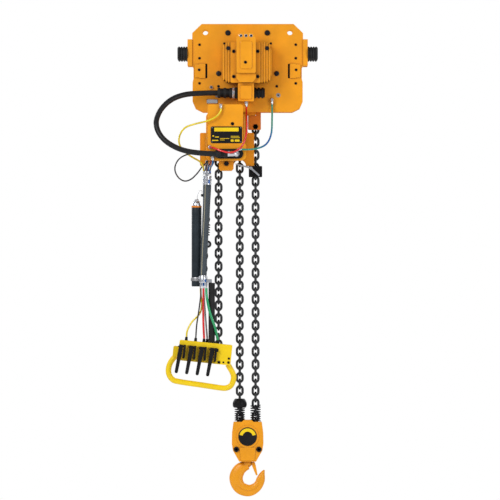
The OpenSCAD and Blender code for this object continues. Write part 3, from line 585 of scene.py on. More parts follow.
hose("supply_hose_line", SUPPLY_ROUTE, 15, HOSE, "root", "supply_hose")
YELLOW_HOSE = hose_skin("hose_yellow", (0.86, 0.66, 0.01))
BLACK_HOSE = hose_skin("hose_black", (0.012, 0.012, 0.013))
RED_HOSE = hose_skin("hose_red", (0.72, 0.012, 0.014))
BLUE_HOSE = hose_skin("hose_blue", (0.0, 0.10, 0.30))
MAROON_HOSE = hose_skin("hose_dark_red", (0.22, 0.012, 0.015))
GREY_HOSE = hose_skin("hose_grey", (0.40, 0.42, 0.44))
GREEN_HOSE = hose_skin("hose_green", (0.004, 0.36, 0.12))
UPPER_HOSES = [
    ("hose_yellow_upper", YELLOW_ROUTE, 5, YELLOW_HOSE), ("hose_black_loop", BLACK_LOOP_ROUTE, 4, BLACK_HOSE),
    ("hose_red_upper", RED_ROUTE, 5, RED_HOSE), ("hose_green_upper", GREEN_ROUTE, 5, green_to_blue()),
    ("hose_blue_upper", BLUE_ROUTE, 5, BLUE_HOSE), ("hose_dark_red_upper", DARK_RED_ROUTE, 5, MAROON_HOSE),
    ("hose_black_left", LEFT_BLACK_ROUTE, 4, BLACK_HOSE), ("hose_black_right", RIGHT_BLACK_ROUTE, 4,
                                                           BLACK_HOSE)]
for name, route, radius, mat in UPPER_HOSES:
    hose(name, route, radius, mat, "root", "upper_control_hoses")
LOWER_LOOKS = [("yellow", 5, YELLOW_HOSE), ("black", 4, BLACK_HOSE), ("red", 6, RED_HOSE),
               ("grey", 5, GREY_HOSE), ("green", 7, GREEN_HOSE)]
for (tone, radius, mat), start, gland in zip(LOWER_LOOKS, LOWER_STARTS, GLAND_AT):
    hose(f"hose_{tone}_lower", start + [at_control(gland[0], gland[1], GLAND_W + 20)], radius, mat,
         "pendant", "lower_control_hoses")

# ---------- Chain and springs ----------

LOAD_Z = row_z(LOAD_ROW)
LINK_RING, LINK_SIDES = 32, 12


def link_surface():
    """One oval link about its centre, long axis up, its face towards Y, with a weld bead on one side."""
    loop_r = (LINK_W + LINK_D) / 2
    straight = LINK_HALF + LINK_D / 2 - loop_r
    centres = []
    half = LINK_RING // 2
    for k in range(LINK_RING):
        side = 1 if k < half else -1
        a = math.pi * (k % half) / (half - 1)
        centres.append(Vector((loop_r * math.cos(a) * side, 0, (straight + loop_r * math.sin(a)) * side)))
    verts = []
    for k, c in enumerate(centres):
        d = (centres[(k + 1) % LINK_RING] - centres[k - 1]).normalized()
        out = d.cross(Vector((0, 1, 0))).normalized()
        bead = 1.0 + (0.07 if k in (0, LINK_RING - 1) else 0.0)
        for j in range(LINK_SIDES):
            a = 2 * math.pi * j / LINK_SIDES
            verts.append(c + (out * math.cos(a) + Vector((0, 1, 0)) * math.sin(a)) * LINK_D / 2 * bead)
    faces = []
    for k in range(LINK_RING):
        n = (k + 1) % LINK_RING
        for j in range(LINK_SIDES):
            m = (j + 1) % LINK_SIDES
            faces.append((k * LINK_SIDES + j, k * LINK_SIDES + m, n * LINK_SIDES + m, n * LINK_SIDES + j))
    return verts, faces


LINK = link_surface()


def add_link(shape, place, turned):
    shape.add(*LINK, CHAIN, place @ Matrix.Rotation(math.pi / 2 if turned else 0, 4, "Z"))


def add_fall(shape, x, a, b):
    for n in range(a, b + 1):
        add_link(shape, Matrix.Translation((x, 0, row_z(n))), n % 2 == 0)


def add_wrap(shape, centre, r, step, count, odd):
    """Links laid round a sheave, the first on its +X side; step is the turn from each link to the next."""
    for i in range(count):
        place = Matrix.Translation(centre) @ Matrix.Rotation(step * i, 4, "Y") @ Matrix.Translation((r, 0, 0))
        add_link(shape, place, i % 2 == odd)


slack = Shape()
for n in range(1, 33):
    add_link(slack, Matrix.Translation((LOAD_X - LOAD_R, 0, LOAD_Z - n * PITCH)), n % 2 == 0)
slack.place("chain_slack_run", "root", "chain_steel", "slack_chain")

upper = Shape()
add_wrap(upper, (LOAD_X, 0, LOAD_Z), LOAD_R, -math.pi / 5, 6, 1)
add_fall(upper, -BLOCK_R, 30, 44)
add_fall(upper, BLOCK_R, 30, 47)
upper.place("chain_upper_run", "root", "chain_steel", "upper_chain")

middle = Shape()
for x in (-BLOCK_R, BLOCK_R):
    add_fall(middle, x, 15, 29)
middle.place("chain_middle_run", "middle_chain", "chain_steel", "middle_chain")

lower = Shape()
for x in (-BLOCK_R, BLOCK_R):
    add_fall(lower, x, 1, 14)
add_wrap(lower, (0, 0, -BLOCK_DROP), BLOCK_R, math.pi / 4, 5, 0)
lower.place("chain_lower_run", "hook_block", "chain_steel", "lower_chain")


def add_spring(shape, x, z0, z1, turns, wire=3.0, r=26.0):
    """Open spring whose last turns lie flat against each other."""
    line, steps = [], 24
    for k in range(turns * steps + 1):
        t = k / (turns * steps)
        flat = min(1.0, t / 0.1, (1 - t) / 0.1)
        h = t + (0.02 if t < 0.5 else -0.02) * (1 - flat)
        a = 2 * math.pi * k / steps
        line.append((x + r * math.cos(a), r * math.sin(a), z0 + (z1 - z0) * h))
    shape.tube(line, wire, BLACK_STEEL, 8, UP)


springs = Shape()
add_spring(springs, -BLOCK_R, -BLOCK_DROP + 84.1, -BLOCK_DROP + 154.9, 6)
add_spring(springs, BLOCK_R, -BLOCK_DROP + 84.1, -BLOCK_DROP + 174, 7)
springs.place("buffer_springs", "hook_block", "black_steel", "chain_springs")

cap = Shape()
cap.lathe([(24, 0), (31, 0), (35, 3), (38, 9), (39, 16), (39, 21), (38.2, 27), (36, 34), (32.5, 41),
           (28.5, 47), (26, 49.6), (24, 50), (24, 0.01)], (-BLOCK_R, 0, -BLOCK_DROP + 158), UP, BLACK, 48)
cap.place("spring_dome", "hook_block", "black_plastic", "spring_cap")

# ---------- Hook block ----------

HOOK_LINE = [
    (90, -187, 5, 6), (81, -206, 14, 14), (73, -232, 23, 19), (63, -260, 25, 21), (42, -284, 28, 23),
    (7, -298, 32, 24), (-35, -286, 35, 25), (-58, -257, 36, 26), (-63, -222, 37, 26), (-48, -187, 35, 25),
    (-25, -168, 30, 23), (2, -157, 24, 21)]
HOOK_TOP = -BLOCK_DROP - 138.4


def hook_section(angle, t):
    """Forged section: broad towards the bowl, narrower outside, with a raised lip round the lower bowl."""
    c, s = math.cos(angle), math.sin(angle)
    low = max(0.0, min(1.0, (t - 0.26) / 0.08)) * max(0.0, min(1.0, (0.68 - t) / 0.1))
    step = 0.30 * low / (1 + math.exp(-(c + 0.02) / 0.02))
    return c, math.copysign(abs(s) ** 0.8, s) * ((1.0 - 0.16 * c) * 0.96 - step) if abs(s) > 1e-9 else 0.0


def make_hook():
    shape = Shape()
    line = smooth([Vector((x, 0, z - BLOCK_DROP)) for x, z, w, h in HOOK_LINE], 6)
    sizes = smooth([Vector((w, h, 0)) for x, z, w, h in HOOK_LINE], 6)
    tip = [line[0] + Vector((0.9, 0, 2.6)), line[0] + Vector((0.5, 0, 1.6))]
    shape.tube(tip + line, [(1.5, 1.8), (3.7, 4.4)] + [(max(4, s.x), max(5, s.y)) for s in sizes], ORANGE, 96,
               BACK, hook_section)
    for v in shape.verts:
        v.z = min(v.z, HOOK_TOP)
    top = -BLOCK_DROP
    shape.lathe([(0, -162), (20, -160), (25, -154), (25, -141), (24, -138.4), (18, -138.4), (18, -112),
                 (18, -79), (0, -79)], (0, 0, top), UP, ORANGE, 48)
    shape.lathe([(0, -99.6), (27, -99.6), (27, -82), (25, -80), (0, -80)], (0, 0, top), UP, BLACK_STEEL, 6)
    shape.lathe([(0, -18), (9, -18), (10, -17), (10, 17), (9, 18), (0, 18)], (32, 0, top - 150), BACK, ORANGE)
    shape.box((-2, -16, top - 159), (33, 16, top - 143), ORANGE, 3)
    web = [(-22, -150), (21, -150), (21, -159), (6, -173), (-22, -178)]
    shape.prism(web, -14, 14, ORANGE, 3, Matrix.Translation((0, 0, top)))
    shape.place("load_hook_body", "hook", "orange_paint", "hook")


make_hook()
bevelled("hook_latch", "hook_latch", [ORANGE], 0.8)


for half in ("block_front_half", "block_rear_half"):
    bevelled(half, "hook_block", [ORANGE], 3.0, 3)

badge = Shape()
for side in (-1, 1):
    turn = Matrix.Translation((0, 0, -BLOCK_DROP)) @ Matrix.Rotation(0 if side < 0 else math.pi, 4, "Z")
    badge.lathe([(0, 51), (49.5, 51), (51, 52.4), (51, 53.2), (50, 54), (0, 54)], (0, 0, -BLOCK_DROP),
                (0, side, 0), BLACK, 72)
    arc = [(r * math.cos(math.radians(a)), r * math.sin(math.radians(a)))
           for r, sweep in ((45.5, range(12, 169, 6)), (27.5, range(168, 11, -6))) for a in sweep]
    badge.prism(arc, -54.8, -53.4, YELLOW, 0.4, turn)
    for x in (-62, 62):
        badge.screw((x, side * 48, -BLOCK_DROP - 70), (0, side, 0), 14, 9, BLACK_STEEL, False, 15)
badge.rod((-62, -47, -BLOCK_DROP - 70), BACK, 8, 94, BLACK_STEEL)
badge.rod((62, -47, -BLOCK_DROP - 70), BACK, 8, 94, BLACK_STEEL)
badge.place("block_badges_and_bolts", "hook_block", "black_steel", "block_bolts")

# ---------- Steel that shows through the gaps ----------


def finish_nodes(mat, *names):
    """Gives CAD nodes whose shape is right their material."""
    for name in names:
        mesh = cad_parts[name].data
        mesh.materials.clear()
        mesh.materials.append(mat)


finish_nodes(STEEL, "tie_bars", "load_bar", "wheel_axles", "wheel_bearings", "drive_pinion", "load_sheave",
             "sheave_bearings", "block_sheave", "block_axle", "hook_bearing")


def make_wheel(name, x, side, toothed):
    """Turned tread with a rounded crown; driven wheels keep their cut teeth on the outer rim."""
    shape = Shape()
    tread = [(25, 45), (62, 45), (66, 46.5), (69.3, 50), (70, 56), (70, 91.5), (72, 93)]
    rim = [(84, 93), (84, 111)] if toothed else [(86, 93), (88, 95), (88, 109), (86, 111)]
    face = [(60, 111), (57, 106), (36, 106), (33, 111), (25, 111), (25, 45.01)]
    shape.lathe(tread + rim + face, (x, 0, 70), (0, side, 0), STEEL, 72)
    if toothed:
        teeth = 36
        for k in range(teeth):
            a = 360 / teeth * k
            turn = Matrix.Translation((x, 0, 70)) @ Matrix.Rotation(math.radians(-a), 4, "Y")
            outline = [(83, -4.3), (90, -3.1), (94.7, -1.5), (94.7, 1.5), (90, 3.1), (83, 4.3)]
            shape.prism(outline, side * 111 if side < 0 else 93, -93 if side < 0 else 111, STEEL, 0.8, turn)
    shape.place(name + "_turned", name, "machined_steel", name)


for name, x, side in (("front_left_wheel", -150, -1), ("front_right_wheel", 150, -1),
                      ("rear_left_wheel", -150, 1), ("rear_right_wheel", 150, 1)):
    make_wheel(name, x, side, side < 0)

# ---------- Trolley ----------

for node_name, width, segments in (
        ("front_side_plate", 2.0, 2), ("rear_side_plate", 2.0, 2), ("end_brackets", 1.6,
                                                                    2), ("guide_blocks", 1.6, 2),
        ("trolley_motor", 1.6, 2), ("trolley_motor_cover", 3.0, 3), ("trolley_valve", 2.4, 3)):
    bevelled(node_name, "root", [ORANGE], width, segments)

buffers = Shape()
for x_side in (-1, 1):
    for y in (-121.5, 121.5):
        profile = [(0, 0)]
        for i in range(4):
            h = i * 13.75
            profile += [(36.2, h), (38, h + 1.6), (38, h + 8.0), (36.2, h + 9.6), (33, h + 10.4),
                        (33, h + 13.0)]
        profile += [(30, 55), (0, 55)]
        buffers.lathe(profile, (x_side * 330, y, 88), (x_side, 0, 0), RUBBER, 56)
buffers.place("end_buffers", "root", "black_rubber", "rubber_buffers")

# Places of the fasteners on the front plate: (x, z, radius)
PLATE_BOLTS = [(108, 201, 15), (106, 113, 12), (128, 143, 6), (159, -22, 14), (160, -92, 7),
               (264, 136, 7), (264, 62, 7), (264, -76, 7)]
COVER_BOLTS = [(56, 96, 9), (56, -42, 9)]


def make_bolts():
    shape = Shape()
    for side in (-1, 1):
        for x, z, r in PLATE_BOLTS:
            on_motor = r == 12
            shape.screw((side * x, -270 if on_motor else -PLATE_OUT, z), FRONT, r, r * 0.6, BLACK_STEEL,
                        r > 10, 0 if on_motor else r * 1.0)
            if x > 136:
                shape.screw((side * x, PLATE_OUT, z), BACK, r, r * 0.6, BLACK_STEEL, r > 10)
        for y in (-1, 1):
            shape.screw((side * 266, y * (PLATE_OUT + 8), -2), (0, y, 0), 7, 5, BLACK_STEEL, False)
            shape.screw((BLOCK_R, y * 41, row_z(47) + 11.85), (0, y, 0), 15, 6, BLACK_STEEL)
    shape.screw((-12, -326, 35), FRONT, 8, 5, BLACK_STEEL, False)
    for x in (-37, -9, 19):
        shape.screw((x, -318, 180), FRONT, 5.6, 6, BLACK_STEEL, False)
    for x, z, r in COVER_BOLTS:
        for place in (x, -x - 20):
            shape.screw((place, -270, z), FRONT, r, 6, BLACK_STEEL, False)
    shape.screw((-83, COVER_FRONT, -301), FRONT, 9, 5, BLACK_STEEL, False)
    shape.screw((-116, -206, -517), FRONT, 14, 8, BLACK_STEEL)
    shape.rod((BLOCK_R, -41, row_z(47) + 11.85), BACK, 6, 82, BLACK_STEEL)
    shape.place("black_screws", "root", "black_steel", "black_bolts")


make_bolts()


def make_silencer():
    shape = Shape()
    profile = [(0, 0), (28, 0)]
    for h in (0, 20, 40):
        profile += [(30, h + 1.5), (30, h + 10.5), (28.5, h + 12), (25, h + 12.5), (25, h + 19.5)]
    profile += [(23, 53), (22, 57), (14, 58), (0, 58)]
    shape.lathe(profile, (35, -200, -130), RIGHT, BLACK, 56)
    shape.place("motor_silencer", "root", "black_plastic", "silencer")


make_silencer()


def knurled(shape, at, axis, r, length, mat, teeth=30, depth=1.2):
    """Gripped ring: a toothed barrel between two plain collars."""
    shape.rod(at, axis, r - depth, length, mat, 1.0, 60)
    turn = Matrix.Translation(at) @ Vector(axis).to_track_quat("Z", "Y").to_matrix().to_4x4()
    for k in range(teeth):
        place = turn @ Matrix.Rotation(2 * math.pi * k / teeth, 4, "Z")
        w = math.pi * r / teeth * 0.55
        shape.box((r - depth - 0.6, -w, 1.4), (r, w, length - 1.4), mat, 0.5, place)


def make_couplings():
    shape = Shape()
    shape.box((-70, -231, -161), (-53, -169, -99), BLACK, 4)
    for i in range(5):
        x = -165 + i * 16.2
        if i % 2 == 0:
            knurled(shape, (x, -200, -130), RIGHT, 28, 16.2, RUBBER)
        else:
            shape.rod((x, -200, -130), RIGHT, 25, 16.2, BLACK, 0.6)
    knurled(shape, (-175, -362, -465), RIGHT, 21, 30, RUBBER, 26)
    shape.rod((-145, -362, -465), RIGHT, 18, 14, BLACK, 1)
    knurled(shape, (-131, -362, -465), RIGHT, 21, 22, RUBBER, 26)
    shape.place("hose_coupling_sleeves", "root", "black_rubber", "hose_couplings")


make_couplings()


def push_fitting(shape, at, axis, r, length, mat=PLATED):
    """Push-in fitting from its hose end: release ring, barrel, then a hexagon."""
    at, axis = Vector(at), Vector(axis).normalized()
    shape.lathe([(0, 0), (r * 0.72, 0), (r * 0.8, length * 0.08), (r * 0.8, length * 0.16),
                 (r * 0.95, length * 0.2),
                 (r * 0.95, length * 0.55), (r * 0.8, length * 0.6), (0, length * 0.6)], at, axis, mat, 32)
    shape.rod(at + axis * length * 0.58, axis, r * 1.15, length * 0.42, mat, 1.0, 6)


def make_fittings():
    shape = Shape()
    knurled(shape, (-84, -200, -130), RIGHT, 31, 14, PLATED, 40, 1.0)
    push_fitting(shape, (-146, -345, -217), UP, 9, 24)
    shape.rod((-146, -350, -203), BACK, 8, 20, PLATED, 1, 6)
    push_fitting(shape, (-7, -230, -206), UP, 9, 29)
    push_fitting(shape, (134, -150, -192), UP, 9, 30)
    shape.rod((134, -158, -166), BACK, 9, 25, PLATED, 1, 6)
    for x, z, r, depth in ((-200, -97, 9, 17), (168, -141, 8, 7)):
        shape.rod((x, -PLATE_OUT - depth, z), BACK, r, depth, PLATED, 1, 6)
        shape.rod((x, -PLATE_OUT - depth - 2, z), BACK, r * 0.6, 4, BLACK_STEEL, 0.5)
    for low, high in (((-224, -139, -186), (-165, -133, -183)), ((-224, -139, -167), (-165, -133, -164)),
                      ((-224, -139, -186), (-218, -133, -164)), ((-171, -139, -186), (-165, -133, -164)),
                      ((-219, -135, -184), (-170, -133, -166))):
        shape.box(low, high, PLATED, 0.8)
    for x in (-37, -9, 19):
        shape.lathe([(5.8, 0), (8.4, 0), (8.4, 1.2), (5.8, 1.6), (5.8, 0.01)], (x, -318, 180), FRONT,
                    PLATED, 32)
    shape.rod((-223, PENDANT_Y - 33, -604), BACK, 9, 6, PLATED, 1, 6)
    shape.rod((-223, PENDANT_Y - 30, -604), BACK, 5, 60, PLATED, 0.5, 24)
    shape.box((-232, PENDANT_Y + 28, -615), (-214, PENDANT_Y + 33, -500), PLATED, 1)
    push_fitting(shape, (-206, -348, -428), BACK, 9, 18)
    shape.rod((-109, -362, -465), RIGHT, 17, 12, PLATED, 1, 6)
    elbow = [(-109, -362, -465), (-88, -362, -465), (-72, -361, -465), (-63, -355, -465), (-62, -345, -465),
             (-62, -338, -465)]
    shape.tube(smooth(elbow, 5), 14.5, PLATED, 28, UP)
    shape.lathe([(0, 0), (17, 0), (17, 4), (15.5, 5), (0, 5)], (-62, -345, -465), BACK, PLATED, 40)
    push_fitting(shape, (-34, -352, -441), (-1, 0, 0), 7.5, 18)
    shape.rod((-52, -358, -441), BACK, 7, 18, PLATED, 1, 6)
    push_fitting(shape, (-190, -340, -502), UP, 8, 22)
    push_fitting(shape, (-218, -300, -462), RIGHT, 7.5, 11)
    for i in range(5):
        at = (-240 + 8.5 * i, PENDANT_Y + (8 if i % 2 == 0 else -8), -576)
        shape.rod(at, UP, 5.4, 8, PLATED, 0.8, 6)
        shape.rod((at[0], at[1], -568), UP, 5, 12, BLUED if i == 4 else PLATED, 0.8, 20)
    shape.place("plated_hose_fittings", "root", "plated_fittings", "hose_fittings")


make_fittings()

# ---------- Hoist ----------

for node_name, width, segments in (("hoist_front_cover", 5.0, 3), ("hoist_motor_housing", 4.0, 3),
                                   ("hoist_chain_housing", 2.4, 2), ("hoist_gear_housing", 4.0, 3)):
    bevelled(node_name, "root", [ORANGE], width, segments)
# The chain anchor takes the darker orange as painted shade, for the shade under the beam.
bevelled("chain_anchor", "root", [DEEP_ORANGE_AND_SHADE], 1.6, 2)
bevelled("limit_switch", "root", [BLACK], 1.6, 2)
bevelled("limit_lever", "limit_lever", [PLATED], 0.7, 2)
bevelled("air_port", "root", [BLACK], 1.4, 2)


def make_nameplate():
    """Rounded black plate with a blank yellow band and plain blocks where a maker's data would stand."""
    shape = Shape()
    plate = rounded([(-201, -407), (-30, -407), (-30, -316), (-201, -316)], 9)
    shape.prism(plate, -333, -330, BLACK, 0.8)
    marks = [(-182, -343, 133, 21), (-192, -371, 9, 7), (-178, -376, 22, 5), (-194, -395, 34, 6),
             (-150, -383, 30, 3), (-118, -383, 18, 3), (-150, -391, 24, 3), (-92, -371, 46, 3), (-92, -379,
                                                                                                 50, 3),
             (-92, -399, 16, 12), (-70, -399, 26, 12)]
    for x, z, w, h in marks:
        shape.prism(rounded([(x, z), (x + w, z), (x + w, z + h), (x, z + h)], min(2.5, h * 0.3), 2),
                    -333.5, -332.8, YELLOW, 0.2)
    for x in (-194, -37):
        for z in (-400, -323):
            shape.rod((x, -333.9, z), BACK, 2.4, 1.2, PLATED, 0.4, 16)
    shape.place("rating_plate", "root", "black_plastic", "nameplate")


make_nameplate()

# ---------- Pendant ----------

SLEEVE_LINE = [(-222, PENDANT_Y, -632), (-226, PENDANT_Y, -760), (-233, PENDANT_Y, -900),
               (-239, PENDANT_Y, -1020), (-243, PENDANT_Y, -1129)]


def sleeve_x(z):
    """The sleeve's centre at a height."""
    return min(smooth(SLEEVE_LINE, 40), key=lambda p: abs(p.z - z)).x


def make_sleeve():
    """Woven sleeve over the control hoses: its yarns cross in a diamond pattern, and it swells between ties."""
    shape = Shape()
    line = smooth(SLEEVE_LINE, 40)
    n = len(line) - 1
    radii = []
    for i in range(n + 1):
        t = i / n
        waist = 1.0 + 0.025 * math.sin(t * math.pi * 7) - 0.05 * math.exp(-((min(t, 1 - t) / 0.015) ** 2))
        radii.append(((22.5 - 4.0 * min(1, t * 2.2)) * waist, 21.0 * waist))
    shape.tube(line, radii, SLEEVE, 48, BACK, None, 0.5)
    stripe = []
    for p in smooth(SLEEVE_LINE, 20):
        stripe.append(p + Vector((-9.5, -19.4, 0)))
    shape.tube(stripe, [(2.0, 1.2)] * len(stripe), STRIPE, 8)
    shape.place("woven_hose_sleeve", "pendant", "woven_sleeve", "pendant_sleeve")


make_sleeve()
CYL_X, CYL_Y = -280, PENDANT_Y + 40


def make_cylinder():
    shape = Shape()
    profile = [(0, -1190), (25, -1190), (27.4, -1186), (27.4, -1000)]
    for z in (-870, -850, -830, -812, -800):
        profile += [(27.4, z - 1.5), (26.6, z - 0.8), (26.6, z + 0.8), (27.4, z + 1.5)]
    profile += [(27.4, -761), (26.6, -757), (0, -757)]
    shape.lathe(profile, (CYL_X, CYL_Y, 0), UP, CYLINDER, 56)
    shape.rod((CYL_X, CYL_Y, -757), UP, 28.4, 9, DEEP_ORANGE_AND_SHADE, 0.8, 56)
    shape.place("valve_tube", "pendant", "black_plastic", "pendant_cylinder")


make_cylinder()


def make_clamps():
    shape = Shape()
    shape.lathe([(0, -632), (24, -632), (25, -631), (25, -622), (22, -620), (22, -617), (26, -615),
                 (26, -600),
                 (22, -598), (22, -595), (25, -593), (25, -584), (24, -583), (0, -583)], (-223, PENDANT_Y, 0),
                UP, PLATED, 48)
    shape.rod((-212, PENDANT_Y - 22, -626), UP, 5, 22, BLUED, 1, 20)
    shape.lathe([(0, -1170), (23, -1170), (24, -1168), (24, -1160), (21.5, -1158), (21.5, -1154), (24, -1152),
                 (24, -1136), (22, -1133), (22, -1130), (21, -1129), (0, -1129)], (-244, PENDANT_Y, 0), UP,
                PLATED, 48)
    shape.rod((-232, PENDANT_Y - 20, -1166), UP, 5, 16, BLUED, 1, 20)
    shape.lathe([(28.1, -1160), (31.6, -1160), (32, -1159), (32, -1141), (31.6, -1140), (28.1, -1140),
                 (28.1, -1159.99)], (CYL_X, CYL_Y, 0), UP, STEEL, 48)
    shape.box((-222, PENDANT_Y - 12, -1170), (-196, PENDANT_Y + 12, -1150), PLATED, 2)
    for x, y in ((-258, 8), (-256, -10), (-242, -10), (-241, 11), (-226, -11)):
        shape.rod((x, PENDANT_Y + y, -1200), UP, 5, 14, PLATED, 0.8, 20)
        shape.rod((x, PENDANT_Y + y, -1186), UP, 6, 16, BLUED if x == -242 else PLATED, 0.8, 6)
    shape.lathe([(0, -748), (25, -748), (25, -734), (22, -727), (14, -722.5), (12, -722), (12, -714),
                 (10, -712),
                 (0, -712)], (CYL_X, CYL_Y, 0), UP, PLATED, 48)
    shape.place("sleeve_clamps", "pendant", "plated_fittings", "pendant_clamps")


make_clamps()


def make_exhaust():
    shape = Shape()
    shape.lathe([(0, -1506), (17, -1506), (17.6, -1503), (17.6, -1190), (18, -1186), (18, -1173),
                 (16.5, -1170),
                 (0, -1170)], (-197, PENDANT_Y, 0), UP, RUBBER, 48)
    shape.place("exhaust_hose", "pendant", "black_rubber", "exhaust_tube")


make_exhaust()

HANDLE_LINE = [
    (-160, -36), (-180, -66), (-190, -100), (-186, -136), (-164, -164), (-128, -173), (0, -179),
    (104, -184), (136, -181), (158, -166), (168, -142), (169, -114), (158, -90), (142, -68), (130, -52)]
handle = Shape()
handle.tube(smooth([at_control(u, 0, w) for u, w in HANDLE_LINE], 6), 15.4, YELLOW, 28)
handle.place("d_handle", "pendant", "yellow_paint", "controller_handle")
bevelled("controller_body", "pendant", [YELLOW], 2.4, 3)
TILT = Matrix.Translation(CONTROL) @ Matrix.Rotation(CONTROL_TILT, 4, "Y")
LEVER_Y, LEVER_W = -BODY_HALF_D - 16, 20.0


def lever_u(n):
    return -134 + n * 57.5


def lever_section(angle, t):
    """Section that goes from a squared block at the pivot to a round grip at the tip."""
    power = 0.35 + 0.6 * min(1.0, max(0.0, (t - 0.38) / 0.2))
    c, s = math.cos(angle), math.sin(angle)
    return math.copysign(abs(c) ** power, c), math.copysign(abs(s) ** power, s)


def make_lever(n):
    shape = Shape()
    sizes = [(8, 10.6, 10), (6.5, 11.8, 11.6), (-46, 11.9, 11.8), (-60, 11.4, 11.2), (-76, 10.4, 10.4),
             (-92, 9.8, 10), (-116, 9.4, 9.8), (-139, 9.0, 9.4), (-145, 7.2, 7.6), (-148, 3.6, 3.8)]
    line = smooth([Vector((0, 0, z)) for z, w, h in sizes], 5)
    radii = smooth([Vector((w, h, 0)) for z, w, h in sizes], 5)
    turn = TILT @ Matrix.Translation((lever_u(n), LEVER_Y, LEVER_W)) @ Matrix.Rotation(math.radians(5), 4,
                                                                                       "Y")
    shape.tube([turn @ p for p in line], [(r.x, r.y) for r in radii], BLACK, 28, BACK, lever_section)
    for z in (-92, -101, -110, -119, -128):
        w = 9.5 - (-z - 92) * 0.012
        shape.lathe([(w - 1, -1.6), (w + 0.5, -1.0), (w + 0.5, 1.0), (w - 1, 1.6), (w - 1, -1.59)],
                    turn @ Vector((0, 0, z)), turn.to_3x3() @ Vector(UP), BLACK, 28)
    shape.place(f"lever_{n + 1}_grip", f"lever_{n + 1}", "black_plastic", f"lever_{n + 1}")


for n in range(4):
    make_lever(n)


def make_control_fittings():
    shape = Shape()
    for n in range(4):
        u = lever_u(n)
        shape.box((u + 14, -66, -44), (u + 26, -40, 32), BLACK, 2, TILT)
        shape.rod(TILT @ Vector((u - 17, LEVER_Y, LEVER_W)), TILT.to_3x3() @ Vector(RIGHT), 4, 32,
                  BLACK_STEEL)
        shape.screw(TILT @ Vector((u + 20, -66, -34)), FRONT, 3.4, 1.6, BLACK_STEEL, False)
    shape.rod(TILT @ Vector((lever_u(3) + 25.5, LEVER_Y, LEVER_W)), TILT.to_3x3() @ Vector(RIGHT), 9, 8.5,
              BLACK, 1)
    up = TILT.to_3x3() @ Vector(UP)
    for u, y in GLAND_AT:
        at = TILT @ Vector((u, y, GLAND_W))
        shape.rod(at, up, 9.5, 8, BLACK, 1, 6)
        shape.lathe([(0, 8), (7.5, 8), (7.5, 16), (6.5, 19.5), (0, 19.5)], at, up, BLACK, 28)
    for u, w, r in ((81, -45, 8), (105, -43, 5), (133, -41, 7), (133, -19, 6)):
        shape.screw(TILT @ Vector((u, -BODY_HALF_D, w)), FRONT, r, 4, BLACK_STEEL, False)
    shape.place("lever_blocks_and_glands", "pendant", "black_plastic", "controller_fittings")


make_control_fittings()


def make_window_painted_shade():
    """Dark sheets of painted shade behind the open strip of each plate window, standing in for the shade seen
    through it.
    """
    shape = Shape()
    for side in (-1, 1):
        for y in (-117.8, 113.0):
            shape.box((min(side * 216, side * 231.8), y, -52), (max(side * 216, side * 231.8), y + 4.8, 36),
                      BLACK, 0.5)
    shape.place("window_painted_shade", "root", "black_plastic")


make_window_painted_shade()


def make_sleeve_trim():
    """Ties, a laced seam and a round knob along the sleeve's right edge, and the tube's pull wire."""
    shape = Shape()
    for z, h, reach in ((-822, 30, 4.5), (-1022, 34, 4.0), (-1092, 32, 4.0)):
        x = sleeve_x(z) + 16.0
        line = [(x, PENDANT_Y, z + h * (k / 8 - 0.5)) for k in range(9)]
        swell = [(3.0 + reach * math.sin(math.pi * k / 8),
                  7.0 + 2.0 * math.sin(math.pi * k / 8)) for k in range(9)]
        shape.tube(line, swell, RUBBER, 20)
    for k in range(5):
        z = -852 - k * 13.5
        shape.lathe([(0, 0), (5, 0), (4.2, 3), (1.6, 9), (0, 9.6)], (sleeve_x(z) + 17.5, PENDANT_Y, z),
                    (1, 0, -0.25), RUBBER, 16)
    z = -958
    shape.lathe([(0, -11), (16, -11), (19, -8), (20, -2), (19, 3), (15, 6), (0, 6)],
                (sleeve_x(z) + 18, PENDANT_Y, z),
                FRONT, RUBBER, 40)
    shape.lathe([(0, 5.6), (9, 5.6), (8.4, 7.4), (0, 7.6)], (sleeve_x(z) + 18, PENDANT_Y, z), FRONT, PLATED,
                28)
    shape.lathe([(0, 0), (6, 0), (8, 3), (8, 8), (5, 12), (0, 13)], (sleeve_x(-690) - 20, PENDANT_Y, -690),
                (-1, -0.4, 0), RUBBER, 24)
    shape.place("sleeve_ties_and_knob", "pendant", "black_rubber")
    wire = Shape()
    loop = [(CYL_X + 4, CYL_Y, -716), (CYL_X + 5, CYL_Y - 4, -690), (CYL_X + 14, CYL_Y - 14, -668),
            (CYL_X + 28, CYL_Y - 26, -664), (sleeve_x(-690) - 27, PENDANT_Y - 4, -680),
            (sleeve_x(-690) - 26, PENDANT_Y - 3, -690)]
    wire.tube(smooth(loop, 8), 1.3, PLATED, 8)
    wire.place("pull_wire", "pendant", "plated_fittings")


make_sleeve_trim()

# ---------- Studio ----------


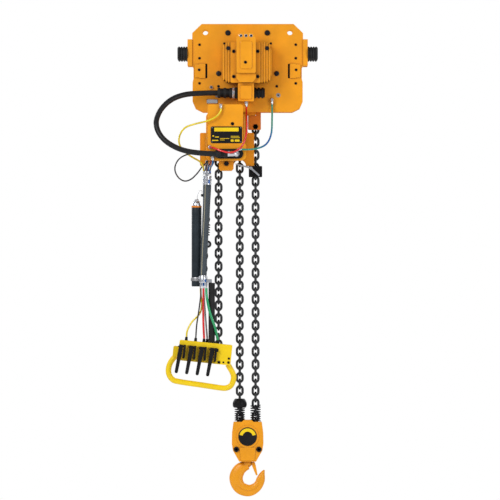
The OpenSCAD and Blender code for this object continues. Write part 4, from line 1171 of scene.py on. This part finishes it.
def add_light(name, place, target, size, power):
    light = bpy.data.lights.new(name, "AREA")
    light.shape = "RECTANGLE"
    light.size, light.size_y = size
    light.energy = power
    ob = bpy.data.objects.new(name, light)
    ob.location = place
    ob.rotation_euler = (Vector(target) - Vector(place)).to_track_quat("-Z", "Y").to_euler()
    bpy.context.scene.collection.objects.link(ob)


def add_studio():
    """A pale floor disc, an even sky that the camera sees as white, and four soft boxes."""
    verts = [(5.0 * math.cos(math.radians(5 * k)), 5.0 * math.sin(math.radians(5 * k)), cad_low.z - 0.3)
             for k in range(72)]
    mesh = bpy.data.meshes.new("studio_floor")
    mesh.from_pydata(verts, [], [tuple(range(72))])
    mat, shader = principled("studio_paper", (0.93, 0.93, 0.93), 0.9)
    feed(mat, mixed(mat, noise(mat, 3.0), (0.92, 0.92, 0.92), (0.94, 0.94, 0.94)), shader, "Base Color")
    mesh.materials.append(mat)
    floor = bpy.data.objects.new("studio_floor", mesh)
    bpy.context.scene.collection.objects.link(floor)
    world = bpy.data.worlds.new("studio")
    world.use_nodes = True
    tree = world.node_tree
    sky = tree.nodes["Background"]
    sky.inputs["Color"].default_value = (0.96, 0.97, 1.0, 1)
    sky.inputs["Strength"].default_value = 0.42
    white = tree.nodes.new("ShaderNodeBackground")
    white.inputs["Strength"].default_value = 1.0
    white.inputs["Color"].default_value = (1, 1, 1, 1)
    rays = tree.nodes.new("ShaderNodeLightPath")
    pick = tree.nodes.new("ShaderNodeMixShader")
    tree.links.new(rays.outputs["Is Camera Ray"], pick.inputs[0])
    tree.links.new(sky.outputs[0], pick.inputs[1])
    tree.links.new(white.outputs[0], pick.inputs[2])
    tree.links.new(pick.outputs[0], tree.nodes["World Output"].inputs["Surface"])
    bpy.context.scene.world = world
    for name, place, target, size, power in (
            ("key", (-3.2, -5.2, 2.0), (0, 0, -0.8), (2.6, 3.2), 190),
            ("fill", (3.6, -4.6, -0.2), (0, 0, -1.0), (2.2, 3.6), 75),
            ("rim_left", (-3.0, 2.6, 0.8), (0, 0, -0.8), (1.2, 3.0), 60),
            ("rim_right", (3.0, 2.8, 0.8), (0, 0, -0.8), (1.2, 3.0), 60)):
        add_light(name, place, target, size, power)


add_studio()
bpy.context.scene.view_settings.view_transform = "Standard"
